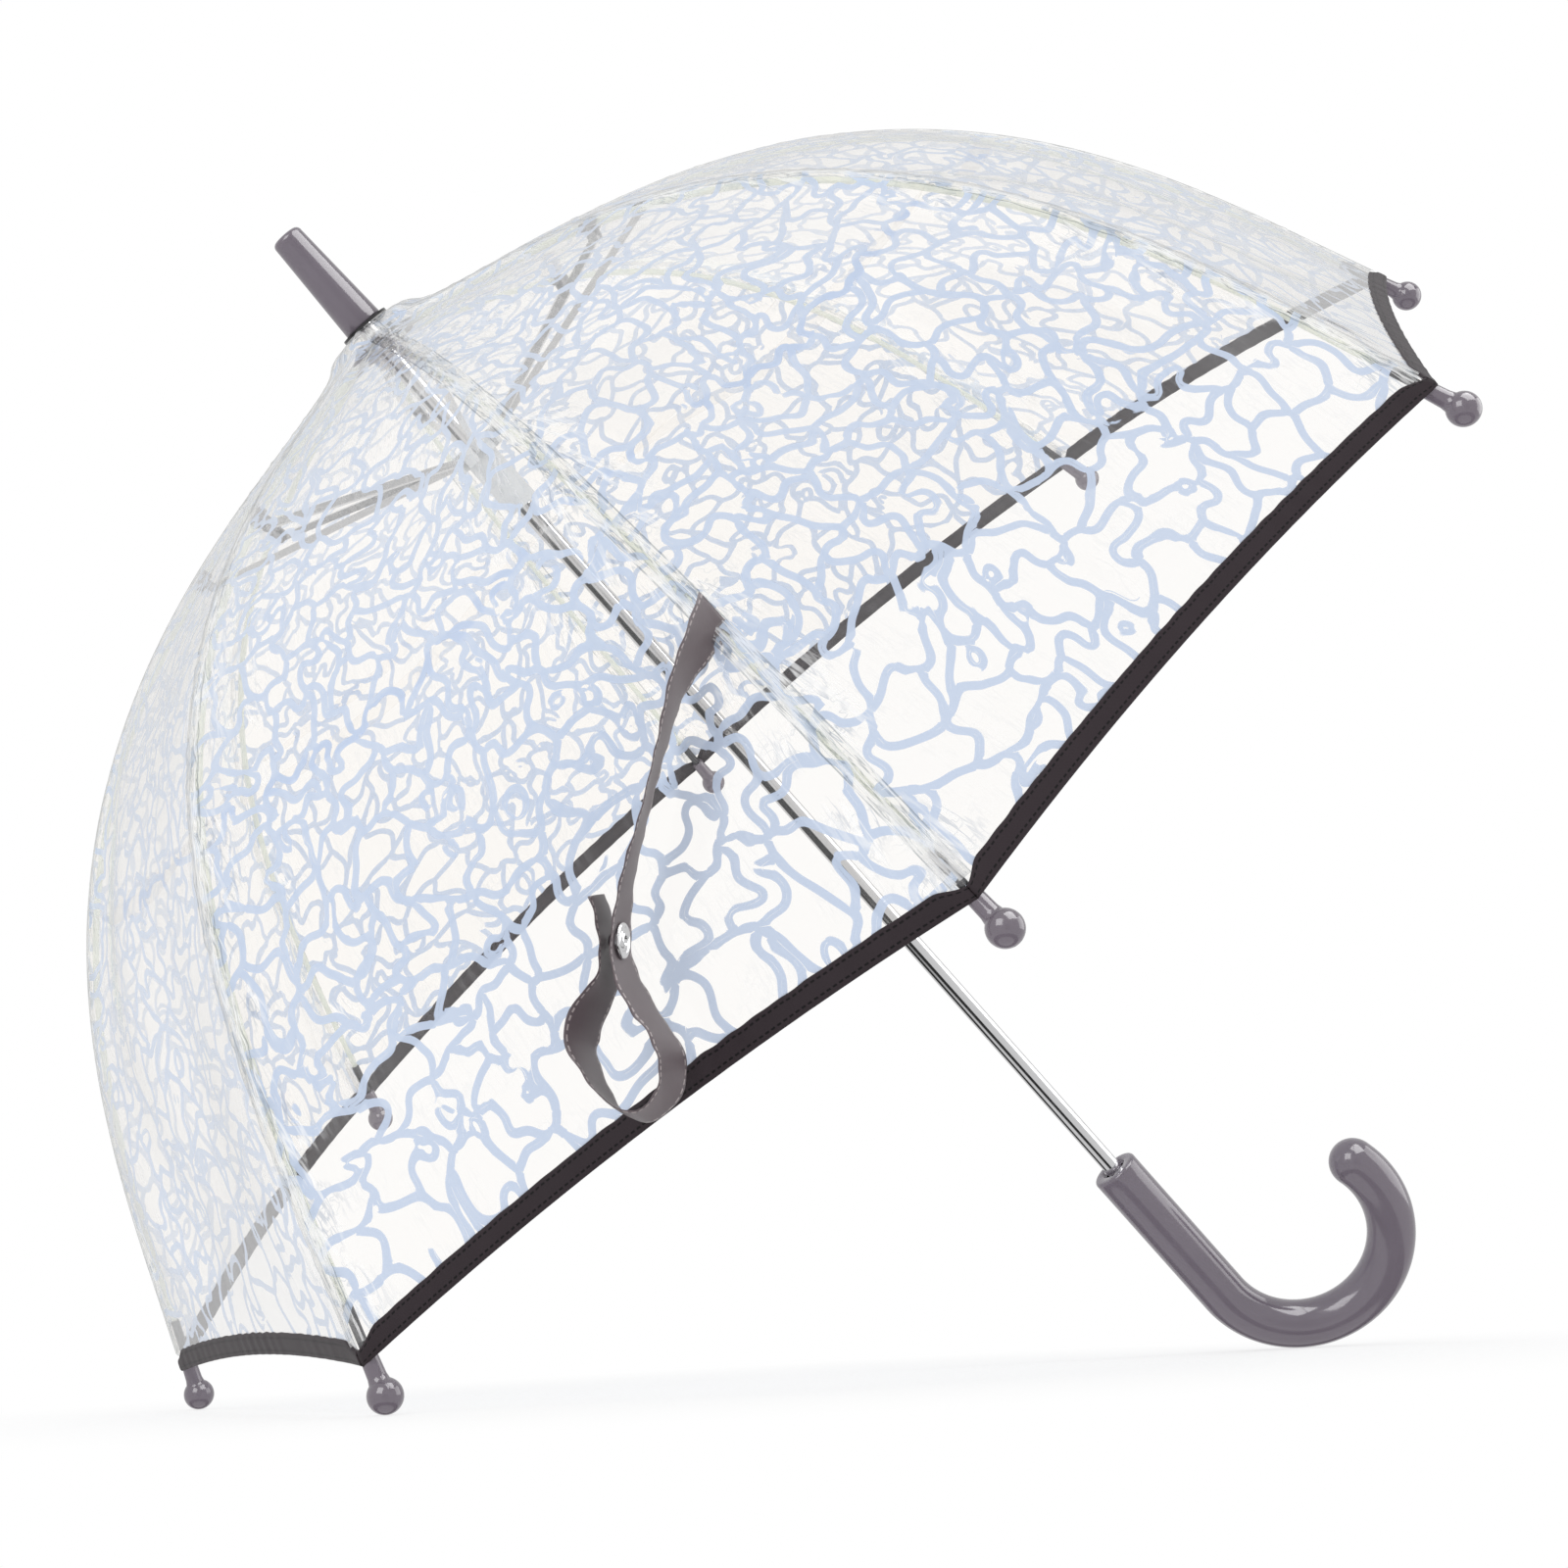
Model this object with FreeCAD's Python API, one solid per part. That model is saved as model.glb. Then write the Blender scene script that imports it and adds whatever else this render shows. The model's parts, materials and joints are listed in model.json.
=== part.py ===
"""Clear bubble umbrella, open and lying on its side.

The umbrella is drawn upright first: the shaft runs along Z, the ferrule points
up, and the rib pivots lie in the plane Z = 0.  Everything is then leaned over
about Y until two rib tips and the crook of the handle touch the floor.
Lengths are in millimetres and angles in degrees.
"""
import math
import os

import FreeCAD
import Part
from FreeCAD import Placement, Rotation, Vector

# Canopy and ribs
RIB_COUNT = 8
FIRST_RIB_AZIMUTH = 157.5
RIB_LENGTH = 485.0
RIB_RADIUS = 1.4
ROD_STEP = 12.0
ROOT_SLOPE = 11.0
TIP_SLOPE = 65.0
BEND_START = 30.0
BEND_END = 440.0
PIVOT_RING_RADIUS = 9.5
EYE_RADIUS = 2.0
EYE_HOLE_RADIUS = 0.8
FLEX_ARC = 270.0
KNUCKLE_RADIUS = 1.5
KNUCKLE_CLEARANCE = 0.25
CLOSED_CHORD_SLOPE = 88.5
CLOSED_TIP_RADIUS = 18.5

# Rib tips
BALL_RADIUS = 6.5
STEM_RADIUS = 3.5
STEM_LENGTH = 17.5
TIP_BORE_RADIUS = 1.45
TIP_BORE_BLIND = 1.0

# Stretchers and their pivots on the ribs
STRETCHER_ARC = 118.0
STRETCHER_DROP = 5.0
STRETCHER_WIDTH = 2.4
STRETCHER_DEPTH = 3.0
RIVET_RADIUS = 0.8
RIVET_HEAD_RADIUS = 1.4
RIVET_HEAD_THICKNESS = 0.6
SADDLE_RADIUS = 2.2
SADDLE_LENGTH = 9.0
EAR_THICKNESS = 1.0
EAR_GAP = 2.8
EAR_RADIUS = 1.9
PIVOT_CLEARANCE = 0.05
PRESS_CLEARANCE = 0.02

# Film, hem and crown
FILM_THICKNESS = 0.4
FILM_OFFSET = 3.4
FILM_CROWN = [(9.0, 8.6), (20.6, 6.2), (31.7, 0.3)]
FILM_STATIONS = [60.0, 97.0, 135.0, 175.0, 215.0, 250.0, 285.0, 320.0, 360.0, 400.0, 440.0]
SEAM_GAP = 0.15
HEM_SETBACK = 12.0
HEM_SAG = 6.0
HEM_WIDTH = 9.0
HEM_THICKNESS = 1.6
HEM_SLOT = 0.6
HEM_FOLD = 1.5
STEM_NOTCH_RADIUS = 3.9

# Shaft, crown and ferrule
SHAFT_RADIUS = 4.0
SHAFT_BORE_RADIUS = 3.4
SHAFT_TOP = 30.0
GLUE_GAP = 0.05
NOTCH_RADIUS = 11.5
NOTCH_HALF_HEIGHT = 4.0
NOTCH_SLOT_WIDTH = 3.3
NOTCH_SLOT_FLOOR = 7.0
CROWN_WIRE_RADIUS = 0.6
WASHER_RADIUS = 11.5
WASHER_BOTTOM = 9.0
WASHER_THICKNESS = 1.2
FERRULE_LENGTH = 50.0
FERRULE_BASE_RADIUS = 9.0
FERRULE_TIP_RADIUS = 7.0
FERRULE_ROUNDING = 3.0

# Runner, catches and stop
RUNNER_HEAD_RADIUS = 12.0
RUNNER_HEAD_HALF_HEIGHT = 4.0
RUNNER_SLEEVE_RADIUS = 7.4
RUNNER_SLEEVE_LENGTH = 27.0
RUNNER_BORE_RADIUS = 4.2
RUNNER_SLOT_WIDTH = 3.0
RUNNER_SLOT_FLOOR = 7.6
KEYWAY_WIDTH = 1.6
KEYWAY_RADIUS = 5.9
CATCH_THICKNESS = 1.0
CATCH_REACH = 5.6
CATCH_ROOT = -1.5
CATCH_HEIGHT = 12.0
CATCH_NOSE = 2.5
CATCH_HEEL = 3.6
CATCH_STROKE = 1.6
CATCH_GAP = 0.3
STOP_PIN_RADIUS = 0.8
STOP_PIN_REACH = 5.4

# Handle
HANDLE_TOP = -493.0
HANDLE_RADIUS = 11.0
HANDLE_STRAIGHT = 80.0
HANDLE_SOCKET_DEPTH = 40.0
HANDLE_RECESS_RADIUS = 6.0
HANDLE_RECESS_DEPTH = 1.5
CROOK_RADIUS = 43.0
CROOK_SWEEP = 195.0
CROOK_AZIMUTH = -35.0

# Closure strap and snap
STRAP_RIB = 3
STRAP_ARC = 345.0
STRAP_SWING = 12.5
STRAP_LEAN = 7.0
STRAP_TURN = 43.0
STRAP_WIDTH = 20.0
STRAP_THICKNESS = 1.2
STRAP_STANDOFF = 2.5
STRAP_CLEARANCE = 5.0
STRAP_TAB_HEIGHT = 4.0
STRAP_TO_NECK = 119.0
STRAP_LOOP_LENGTH = 52.0
STRAP_LOOP_RADIUS = 16.0
STRAP_LOOP_OFFSET = 17.0
STRAP_END_LENGTH = 28.0
SNAP_RADIUS = 6.0
SNAP_HEIGHT = 11.0
SNAP_THICKNESS = 2.0

HALF_PITCH = 180.0 / RIB_COUNT
RADIAL = Vector(1, 0, 0)
TANGENT = Vector(0, 1, 0)
UP = Vector(0, 0, 1)
ORIGIN = Vector(0, 0, 0)


def cos(angle):
    return math.cos(math.radians(angle))


def sin(angle):
    return math.sin(math.radians(angle))


def rib_azimuth(number):
    """Azimuth of rib 1 to RIB_COUNT round the shaft."""
    return FIRST_RIB_AZIMUTH + (number - 1) * 360.0 / RIB_COUNT


def rib_slope(arc):
    """Slope of the open rib below the horizontal, at an arc length from its pivot."""
    t = min(max((arc - BEND_START) / (BEND_END - BEND_START), 0.0), 1.0)
    return ROOT_SLOPE + (TIP_SLOPE - ROOT_SLOPE) * t * t * (3.0 - 2.0 * t)


def rib_curve(step=1.0):
    """Points of the open rib's centreline, one step apart, in the XZ plane."""
    points = [Vector(PIVOT_RING_RADIUS, 0, 0)]
    for index in range(int(RIB_LENGTH / step)):
        slope = rib_slope((index + 0.5) * step)
        points.append(points[-1] + Vector(step * cos(slope), 0, -step * sin(slope)))
    return points


RIB_POINTS = rib_curve()


def on_rib(arc):
    """Point of the rib's centreline at an arc length from its pivot."""
    index = min(int(arc), len(RIB_POINTS) - 2)
    return RIB_POINTS[index] + (RIB_POINTS[index + 1] - RIB_POINTS[index]) * (arc - index)


def along_rib(arc):
    """Unit vector along the rib towards its tip."""
    return Vector(cos(rib_slope(arc)), 0, -sin(rib_slope(arc)))


def outward(arc):
    """Unit vector square to the rib, away from the inside of the dome."""
    return Vector(sin(rib_slope(arc)), 0, cos(rib_slope(arc)))


def chord_slope(start, end):
    """Slope below the horizontal of the line between two points of the XZ plane."""
    return math.degrees(math.atan2(start.z - end.z, end.x - start.x))


# Fold geometry
RIB_PIVOT = on_rib(0.0)
FLEX_POINT = on_rib(FLEX_ARC)
TIP_POINT = on_rib(RIB_LENGTH)
STRETCHER_PIVOT = on_rib(STRETCHER_ARC) - outward(STRETCHER_ARC) * STRETCHER_DROP
STRETCHER_SPAN = (STRETCHER_PIVOT - RIB_PIVOT).Length
STRETCHER_SLOPE = chord_slope(RIB_PIVOT, STRETCHER_PIVOT)
RUNNER_OPEN = -2.0 * STRETCHER_SPAN * sin(STRETCHER_SLOPE)
UPPER_FOLD = CLOSED_CHORD_SLOPE - chord_slope(RIB_PIVOT, FLEX_POINT)
RUNNER_CLOSED = -2.0 * STRETCHER_SPAN * sin(STRETCHER_SLOPE + UPPER_FOLD)
RUNNER_TRAVEL = RUNNER_OPEN - RUNNER_CLOSED


def lower_fold():
    """Turn of the outer rib relative to the inner rib when the umbrella is shut."""
    turn = Rotation(TANGENT, UPPER_FOLD)
    flex = RIB_PIVOT + turn.multVec(FLEX_POINT - RIB_PIVOT)
    reach = (TIP_POINT - FLEX_POINT).Length
    shut_slope = math.degrees(math.acos((CLOSED_TIP_RADIUS - flex.x) / reach))
    return shut_slope - chord_slope(FLEX_POINT, TIP_POINT) - UPPER_FOLD


LOWER_FOLD = lower_fold()
RUNNER_BOTTOM = RUNNER_OPEN - RUNNER_HEAD_HALF_HEIGHT - RUNNER_SLEEVE_LENGTH
RUNNER_CLOSED_TOP = RUNNER_CLOSED + RUNNER_HEAD_HALF_HEIGHT
RUNNER_CLOSED_BOTTOM = RUNNER_BOTTOM - RUNNER_TRAVEL
CROOK_CENTRE = Vector(CROOK_RADIUS, 0, HANDLE_TOP - HANDLE_STRAIGHT)


def crook_above_tips(lean):
    """Height of the lowest point of the crook above that of the two lower rib tips."""
    tip = TIP_POINT.z * cos(lean) - TIP_POINT.x * cos(HALF_PITCH) * sin(lean) - BALL_RADIUS
    tilt = cos(CROOK_AZIMUTH) * sin(lean)
    middle = CROOK_CENTRE.x * tilt + CROOK_CENTRE.z * cos(lean)
    return middle - CROOK_RADIUS * math.hypot(tilt, cos(lean)) - HANDLE_RADIUS - tip


def lean_angle():
    """Lean from upright at which the crook and two rib tips rest on the floor."""
    low, high = 0.0, 90.0
    while high - low > 1e-10:
        middle = (low + high) / 2.0
        low, high = (middle, high) if crook_above_tips(middle) < 0.0 else (low, middle)
    return low


LEAN = lean_angle()
LEANED = Rotation(TANGENT, -LEAN)


def turned(shape, azimuth):
    """Copy of a shape turned about the shaft."""
    copy = shape.copy()
    copy.rotate(ORIGIN, UP, azimuth)
    return copy


def cylinder(radius, length, base, direction):
    return Part.makeCylinder(radius, length, base, direction)


def cross_pin(radius, length, centre):
    """Cylinder along the tangential direction, centred on a point."""
    return cylinder(radius, length, centre - TANGENT * (length / 2.0), TANGENT)


def tube(outer, inner, bottom, top):
    """Upright tube on the shaft's axis."""
    wall = cylinder(outer, top - bottom, Vector(0, 0, bottom), UP)
    return wall.cut(cylinder(inner, top - bottom, Vector(0, 0, bottom), UP))


def box(x_range, y_range, z_range):
    size = [high - low for low, high in (x_range, y_range, z_range)]
    return Part.makeBox(*size, Vector(x_range[0], y_range[0], z_range[0]))


def slots(width, floor, rim, bottom, top):
    """One radial slot at each rib."""
    slot = box((floor, rim), (-width / 2.0, width / 2.0), (bottom, top))
    return [turned(slot, rib_azimuth(number + 1)) for number in range(RIB_COUNT)]


def rod(start, end, radius):
    """Round rod that follows the rib between two arc lengths in short straight steps."""
    count = max(int((end - start) / ROD_STEP), 2)
    sections = []
    for index in range(count + 1):
        arc = start + (end - start) * index / count
        ring = Part.Wire(Part.makeCircle(radius, ORIGIN, RADIAL))
        ring.rotate(ORIGIN, TANGENT, rib_slope(arc))
        ring.translate(on_rib(arc))
        sections.append(ring)
    return Part.makeLoft(sections, True, True)


def rib_upper():
    """Inner rib: eye on the crown wire, rod, stretcher saddle and flex knuckle."""
    saddle_start = on_rib(STRETCHER_ARC) - along_rib(STRETCHER_ARC) * (SADDLE_LENGTH / 2.0)
    saddle = cylinder(SADDLE_RADIUS, SADDLE_LENGTH, saddle_start, along_rib(STRETCHER_ARC))
    shape = rod(EYE_RADIUS / 2.0, FLEX_ARC, RIB_RADIUS).fuse(
        [
            cross_pin(EYE_RADIUS, 2.0 * RIB_RADIUS, RIB_PIVOT),
            cross_pin(KNUCKLE_RADIUS, 2.0 * RIB_RADIUS, FLEX_POINT),
            saddle,
        ]
    )
    hole = cross_pin(RIVET_RADIUS + PIVOT_CLEARANCE, 20.0, STRETCHER_PIVOT)
    for side in (-1.0, 1.0):
        middle = TANGENT * (side * (EAR_GAP + EAR_THICKNESS) / 2.0)
        ear = cross_pin(EAR_RADIUS, EAR_THICKNESS, STRETCHER_PIVOT + middle)
        neck = Part.makeBox(2.0 * EAR_RADIUS, EAR_THICKNESS, STRETCHER_DROP)
        neck.translate(Vector(-EAR_RADIUS, -EAR_THICKNESS / 2.0, 0))
        neck.rotate(ORIGIN, TANGENT, rib_slope(STRETCHER_ARC))
        neck.translate(STRETCHER_PIVOT + middle)
        shape = shape.fuse([ear, neck])
    shape = shape.cut([hole, cross_pin(EYE_HOLE_RADIUS, 20.0, RIB_PIVOT)])
    return shape.removeSplitter()


def rib_lower():
    """Outer rib: rod from just past the flex knuckle into the tip."""
    start = FLEX_ARC + KNUCKLE_RADIUS + KNUCKLE_CLEARANCE
    return rod(start, RIB_LENGTH - 2.0 * TIP_BORE_BLIND, RIB_RADIUS)


def rib_tip():
    """Ball end with a stem that the rib plugs into."""
    start = TIP_POINT - along_rib(RIB_LENGTH) * STEM_LENGTH
    stem = cylinder(STEM_RADIUS, STEM_LENGTH, start, along_rib(RIB_LENGTH))
    bore_length = STEM_LENGTH - TIP_BORE_BLIND
    bore = cylinder(TIP_BORE_RADIUS, bore_length, start, along_rib(RIB_LENGTH))
    return Part.makeSphere(BALL_RADIUS, TIP_POINT).fuse(stem).cut(bore)


def stretcher():
    """Stretcher bar from the runner to the rib, with the rivet at its rib end."""
    inner = Vector(PIVOT_RING_RADIUS, 0, RUNNER_OPEN)
    span = STRETCHER_PIVOT - inner
    bar = Part.makeBox(span.Length, STRETCHER_WIDTH, STRETCHER_DEPTH)
    bar.translate(Vector(0, -STRETCHER_WIDTH / 2.0, -STRETCHER_DEPTH / 2.0))
    bar.rotate(ORIGIN, TANGENT, chord_slope(inner, STRETCHER_PIVOT))
    bar.translate(inner)
    ends = [cross_pin(STRETCHER_DEPTH / 2.0, STRETCHER_WIDTH, end) for end in (inner, STRETCHER_PIVOT)]
    holes = [
        cross_pin(EYE_HOLE_RADIUS, 20.0, inner),
        cross_pin(RIVET_RADIUS + PRESS_CLEARANCE, 20.0, STRETCHER_PIVOT),
    ]
    bar = bar.fuse(ends).removeSplitter().cut(holes)
    grip = EAR_GAP + 2.0 * (EAR_THICKNESS + PIVOT_CLEARANCE)
    rivet = cross_pin(RIVET_RADIUS, grip, STRETCHER_PIVOT)
    for side in (-1.0, 1.0):
        base = STRETCHER_PIVOT + TANGENT * (side * grip / 2.0)
        rivet = rivet.fuse(cylinder(RIVET_HEAD_RADIUS, RIVET_HEAD_THICKNESS, base, TANGENT * side))
    return Part.makeCompound([bar, rivet.removeSplitter()])


def film_profile(depth):
    """Ridge of the film in the XZ plane, at a depth inside its outer face."""
    crown = [Vector(x, 0, z - depth) for x, z in FILM_CROWN]
    arcs = FILM_STATIONS + [RIB_LENGTH - HEM_SETBACK]
    return crown + [on_rib(arc) + outward(arc) * (FILM_OFFSET - depth) for arc in arcs]


def panel_corner(point, side):
    """Corner of a panel that is centred on +X, moved clear of the rib's own plane."""
    edge = Rotation(UP, side * HALF_PITCH)
    return edge.multVec(point - TANGENT * (side * SEAM_GAP))


def polygon(points):
    return Part.Face(Part.makePolygon(points + points[:1]))


def hem_frame():
    """Centre, radius, plane normal and downhill direction of the hem's outer edge."""
    high, low = [point for point in film_profile(0.0)[-2:]]
    downhill = Vector((low.x - high.x) * cos(HALF_PITCH), 0, low.z - high.z).normalize()
    normal = Vector(-downhill.z, 0, downhill.x)
    half_width = low.x * sin(HALF_PITCH)
    radius = (half_width**2 + HEM_SAG**2) / (2.0 * HEM_SAG)
    chord = Vector(low.x * cos(HALF_PITCH), 0, low.z)
    return chord + downhill * (radius - HEM_SAG), radius, normal, downhill


def film_depth_in_plane():
    """Thickness of the film measured square to the panel's last flat strip."""
    outer, inner = film_profile(0.0)[-1], film_profile(FILM_THICKNESS)[-1]
    shift = Rotation(UP, HALF_PITCH).multVec(outer - inner)
    return shift.dot(hem_frame()[2])


def hem_disc(radius, thickness):
    """Disc in the plane of the hem, centred on the film's own thickness."""
    centre, _, normal, _ = hem_frame()
    base = centre - normal * (film_depth_in_plane() / 2.0 + thickness / 2.0)
    return cylinder(radius, thickness, base, normal)


def stem_notches():
    """Room for the stem of the rib tip at both corners of a panel."""
    start = TIP_POINT - along_rib(RIB_LENGTH) * (STEM_LENGTH + 1.5)
    notch = cylinder(STEM_NOTCH_RADIUS, STEM_LENGTH + 1.5, start, along_rib(RIB_LENGTH))
    return [turned(notch, side * HALF_PITCH) for side in (-1.0, 1.0)]


def panel():
    """Film panel between two ribs, centred on +X: a chain of flat strips."""
    outer = film_profile(0.0)
    inner = film_profile(FILM_THICKNESS)
    faces = []
    for skin in (outer, inner):
        for upper, lower in zip(skin, skin[1:]):
            corners = [panel_corner(upper, -1), panel_corner(upper, 1)]
            corners += [panel_corner(lower, 1), panel_corner(lower, -1)]
            faces.append(polygon(corners))
    for side in (-1, 1):
        rim = [panel_corner(point, side) for point in outer + inner[::-1]]
        faces.append(polygon(rim))
    for end in (0, -1):
        corners = [panel_corner(outer[end], -1), panel_corner(outer[end], 1)]
        corners += [panel_corner(inner[end], 1), panel_corner(inner[end], -1)]
        faces.append(polygon(corners))
    film = Part.Solid(Part.makeShell(faces))
    if film.Volume < 0:
        film.reverse()
    edge_radius = hem_frame()[1] + HEM_FOLD
    return film.cut([hem_disc(edge_radius, 4.0)] + stem_notches())


def hem():
    """Folded tape round the free edge of a panel, centred on +X."""
    radius = hem_frame()[1]
    tape = hem_disc(radius + HEM_WIDTH, HEM_THICKNESS).cut(hem_disc(radius, HEM_THICKNESS))
    reach = 2.0 * TIP_POINT.x
    wedge_points = [Vector(0, 0, 2.0 * TIP_POINT.z)]
    for side in (-1, 1):
        wedge_points.append(panel_corner(Vector(reach, 0, 2.0 * TIP_POINT.z), side))
    wedge = polygon(wedge_points).extrude(UP * (-2.0 * TIP_POINT.z))
    fold = hem_disc(radius + 2.0 * HEM_WIDTH, HEM_SLOT)
    fold = fold.cut(hem_disc(radius + HEM_FOLD - 0.1, HEM_SLOT))
    return tape.common(wedge).cut([fold] + stem_notches())


def crown_notch():
    """Slotted hub that the ribs swing in, with a tunnel for the wire ring."""
    hub = tube(NOTCH_RADIUS, SHAFT_RADIUS + GLUE_GAP, -NOTCH_HALF_HEIGHT, NOTCH_HALF_HEIGHT)
    cuts = slots(
        NOTCH_SLOT_WIDTH, NOTCH_SLOT_FLOOR, 2.0 * NOTCH_RADIUS, -NOTCH_RADIUS, NOTCH_RADIUS
    )
    tunnel = Part.makeTorus(PIVOT_RING_RADIUS, CROWN_WIRE_RADIUS + PIVOT_CLEARANCE)
    return hub.cut(cuts + [tunnel])


def crown_wire():
    return Part.makeTorus(PIVOT_RING_RADIUS, CROWN_WIRE_RADIUS)


def crown_washer():
    return tube(WASHER_RADIUS, SHAFT_RADIUS + GLUE_GAP, WASHER_BOTTOM, WASHER_BOTTOM + WASHER_THICKNESS)


def ferrule():
    """Tapered cap over the top of the shaft, with a rounded end."""
    bottom = WASHER_BOTTOM + WASHER_THICKNESS + GLUE_GAP
    cap = Part.makeCone(FERRULE_BASE_RADIUS, FERRULE_TIP_RADIUS, FERRULE_LENGTH, Vector(0, 0, bottom))
    top_edge = max(cap.Edges, key=lambda edge: edge.CenterOfMass.z)
    cap = cap.makeFillet(FERRULE_ROUNDING, [top_edge])
    socket = cylinder(SHAFT_RADIUS + GLUE_GAP, SHAFT_TOP + GLUE_GAP - bottom, Vector(0, 0, bottom), UP)
    return cap.cut(socket)


def catch(shelf, direction):
    """Sprung catch plate on the -Y side, with its flat shelf at one height."""
    outline = [
        (CATCH_ROOT, 0.0),
        (CATCH_REACH, 0.0),
        (CATCH_REACH, CATCH_NOSE),
        (CATCH_HEEL, CATCH_HEIGHT),
        (CATCH_ROOT, CATCH_HEIGHT),
    ]
    points = [Vector(-CATCH_THICKNESS / 2.0, -out, shelf + direction * up) for out, up in outline]
    return polygon(points).extrude(RADIAL * CATCH_THICKNESS)


TOP_SHELF = RUNNER_BOTTOM - CATCH_GAP
BOTTOM_SHELF = RUNNER_CLOSED_TOP + CATCH_GAP
STOP_HEIGHT = RUNNER_CLOSED_BOTTOM - CATCH_GAP - STOP_PIN_RADIUS


def stop_pin():
    """Pin across the shaft that stops the shut runner on the +Y side."""
    start = Vector(0, -SHAFT_BORE_RADIUS / 2.0, STOP_HEIGHT)
    return cylinder(STOP_PIN_RADIUS, SHAFT_BORE_RADIUS / 2.0 + STOP_PIN_REACH, start, TANGENT)


def shaft_tube():
    """Tube from the ferrule to the handle, slotted for the catches."""
    bottom = HANDLE_TOP - HANDLE_SOCKET_DEPTH + 1.0
    shaft = tube(SHAFT_RADIUS, SHAFT_BORE_RADIUS, bottom, SHAFT_TOP)
    half = CATCH_THICKNESS / 2.0 + 0.1
    for low, high in ((TOP_SHELF - CATCH_HEIGHT, TOP_SHELF), (BOTTOM_SHELF, BOTTOM_SHELF + CATCH_HEIGHT)):
        slot = box((-half, half), (-2.0 * SHAFT_RADIUS, 0.0), (low - 0.2, high + 0.2))
        shaft = shaft.cut(slot)
    hole = cylinder(STOP_PIN_RADIUS, 2.0 * SHAFT_RADIUS, Vector(0, 0, STOP_HEIGHT), TANGENT)
    return shaft.cut(hole)


def runner():
    """Slider with a slotted head for the stretchers and a keyway for the catches."""
    head_top = RUNNER_OPEN + RUNNER_HEAD_HALF_HEIGHT
    head_bottom = RUNNER_OPEN - RUNNER_HEAD_HALF_HEIGHT
    head = tube(RUNNER_HEAD_RADIUS, RUNNER_BORE_RADIUS, head_bottom, head_top)
    sleeve = tube(RUNNER_SLEEVE_RADIUS, RUNNER_BORE_RADIUS, RUNNER_BOTTOM, head_bottom)
    head = head.cut(
        slots(
            RUNNER_SLOT_WIDTH, RUNNER_SLOT_FLOOR, 2.0 * RUNNER_HEAD_RADIUS, head_bottom, head_top
        )
    )
    half = KEYWAY_WIDTH / 2.0
    keyway = box((-half, half), (-KEYWAY_RADIUS, 0.0), (RUNNER_BOTTOM, head_top))
    return head.fuse(sleeve).cut(keyway).removeSplitter()


def crook_handle():
    """Straight grip that runs into the crook and a rounded end."""
    top = Vector(0, 0, HANDLE_TOP)
    grip_end = Vector(0, 0, CROOK_CENTRE.z)
    grip = cylinder(HANDLE_RADIUS, HANDLE_STRAIGHT, grip_end, UP)
    rim = max(grip.Edges, key=lambda edge: edge.CenterOfMass.z)
    grip = grip.makeFillet(1.5, [rim])
    disc = Part.Face(Part.Wire(Part.makeCircle(HANDLE_RADIUS, grip_end, UP)))
    crook = disc.revolve(CROOK_CENTRE, -TANGENT, CROOK_SWEEP)
    end = CROOK_CENTRE + Rotation(-TANGENT, CROOK_SWEEP).multVec(-RADIAL * CROOK_RADIUS)
    shape = grip.fuse([crook, Part.makeSphere(HANDLE_RADIUS, end)])
    socket = cylinder(SHAFT_RADIUS + GLUE_GAP, HANDLE_SOCKET_DEPTH, top - UP * HANDLE_SOCKET_DEPTH, UP)
    recess = cylinder(HANDLE_RECESS_RADIUS, HANDLE_RECESS_DEPTH, top - UP * HANDLE_RECESS_DEPTH, UP)
    return turned(shape.cut([socket, recess]).removeSplitter(), CROOK_AZIMUTH)


def strap_root():
    """Point where the strap leaves the seam, on the leaned umbrella."""
    point = on_rib(STRAP_ARC) + outward(STRAP_ARC) * (FILM_OFFSET + STRAP_STANDOFF)
    return LEANED.multVec(Rotation(UP, rib_azimuth(STRAP_RIB)).multVec(point))


def strap_top():
    """Top of the hanging part, clear of the film that bulges out below the seam."""
    return strap_root() - TANGENT * STRAP_CLEARANCE


def swung(shape):
    """Strap piece swung about its seam, turned and leaned toward the film below it."""
    shape.rotate(strap_root(), TANGENT, STRAP_SWING)
    shape.rotate(strap_root(), UP, -STRAP_TURN)
    shape.rotate(strap_root(), RADIAL, STRAP_LEAN)
    return shape


def strap_ring(inset):
    """Teardrop outline of the strap's hanging loop, below its snap."""
    top = strap_top() - UP * STRAP_TO_NECK
    centre = top - UP * (STRAP_LOOP_LENGTH - STRAP_LOOP_RADIUS) + RADIAL * STRAP_LOOP_OFFSET
    radius = STRAP_LOOP_RADIUS - inset
    shoulder = Vector(radius * cos(20.0), 0, radius * sin(20.0))
    left = centre + Vector(-shoulder.x, 0, shoulder.z)
    right = centre + shoulder
    neck = Vector(STRAP_THICKNESS + 0.3 - inset, 0, 0)
    drop = UP * (-inset)
    return Part.Face(
        Part.Wire(
            [
                Part.makeLine(top + drop + neck, top + drop - neck),
                Part.makeLine(top + drop - neck, left),
                Part.Arc(left, centre - UP * radius, right).toShape(),
                Part.makeLine(right, top + drop + neck),
            ]
        )
    )


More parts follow.
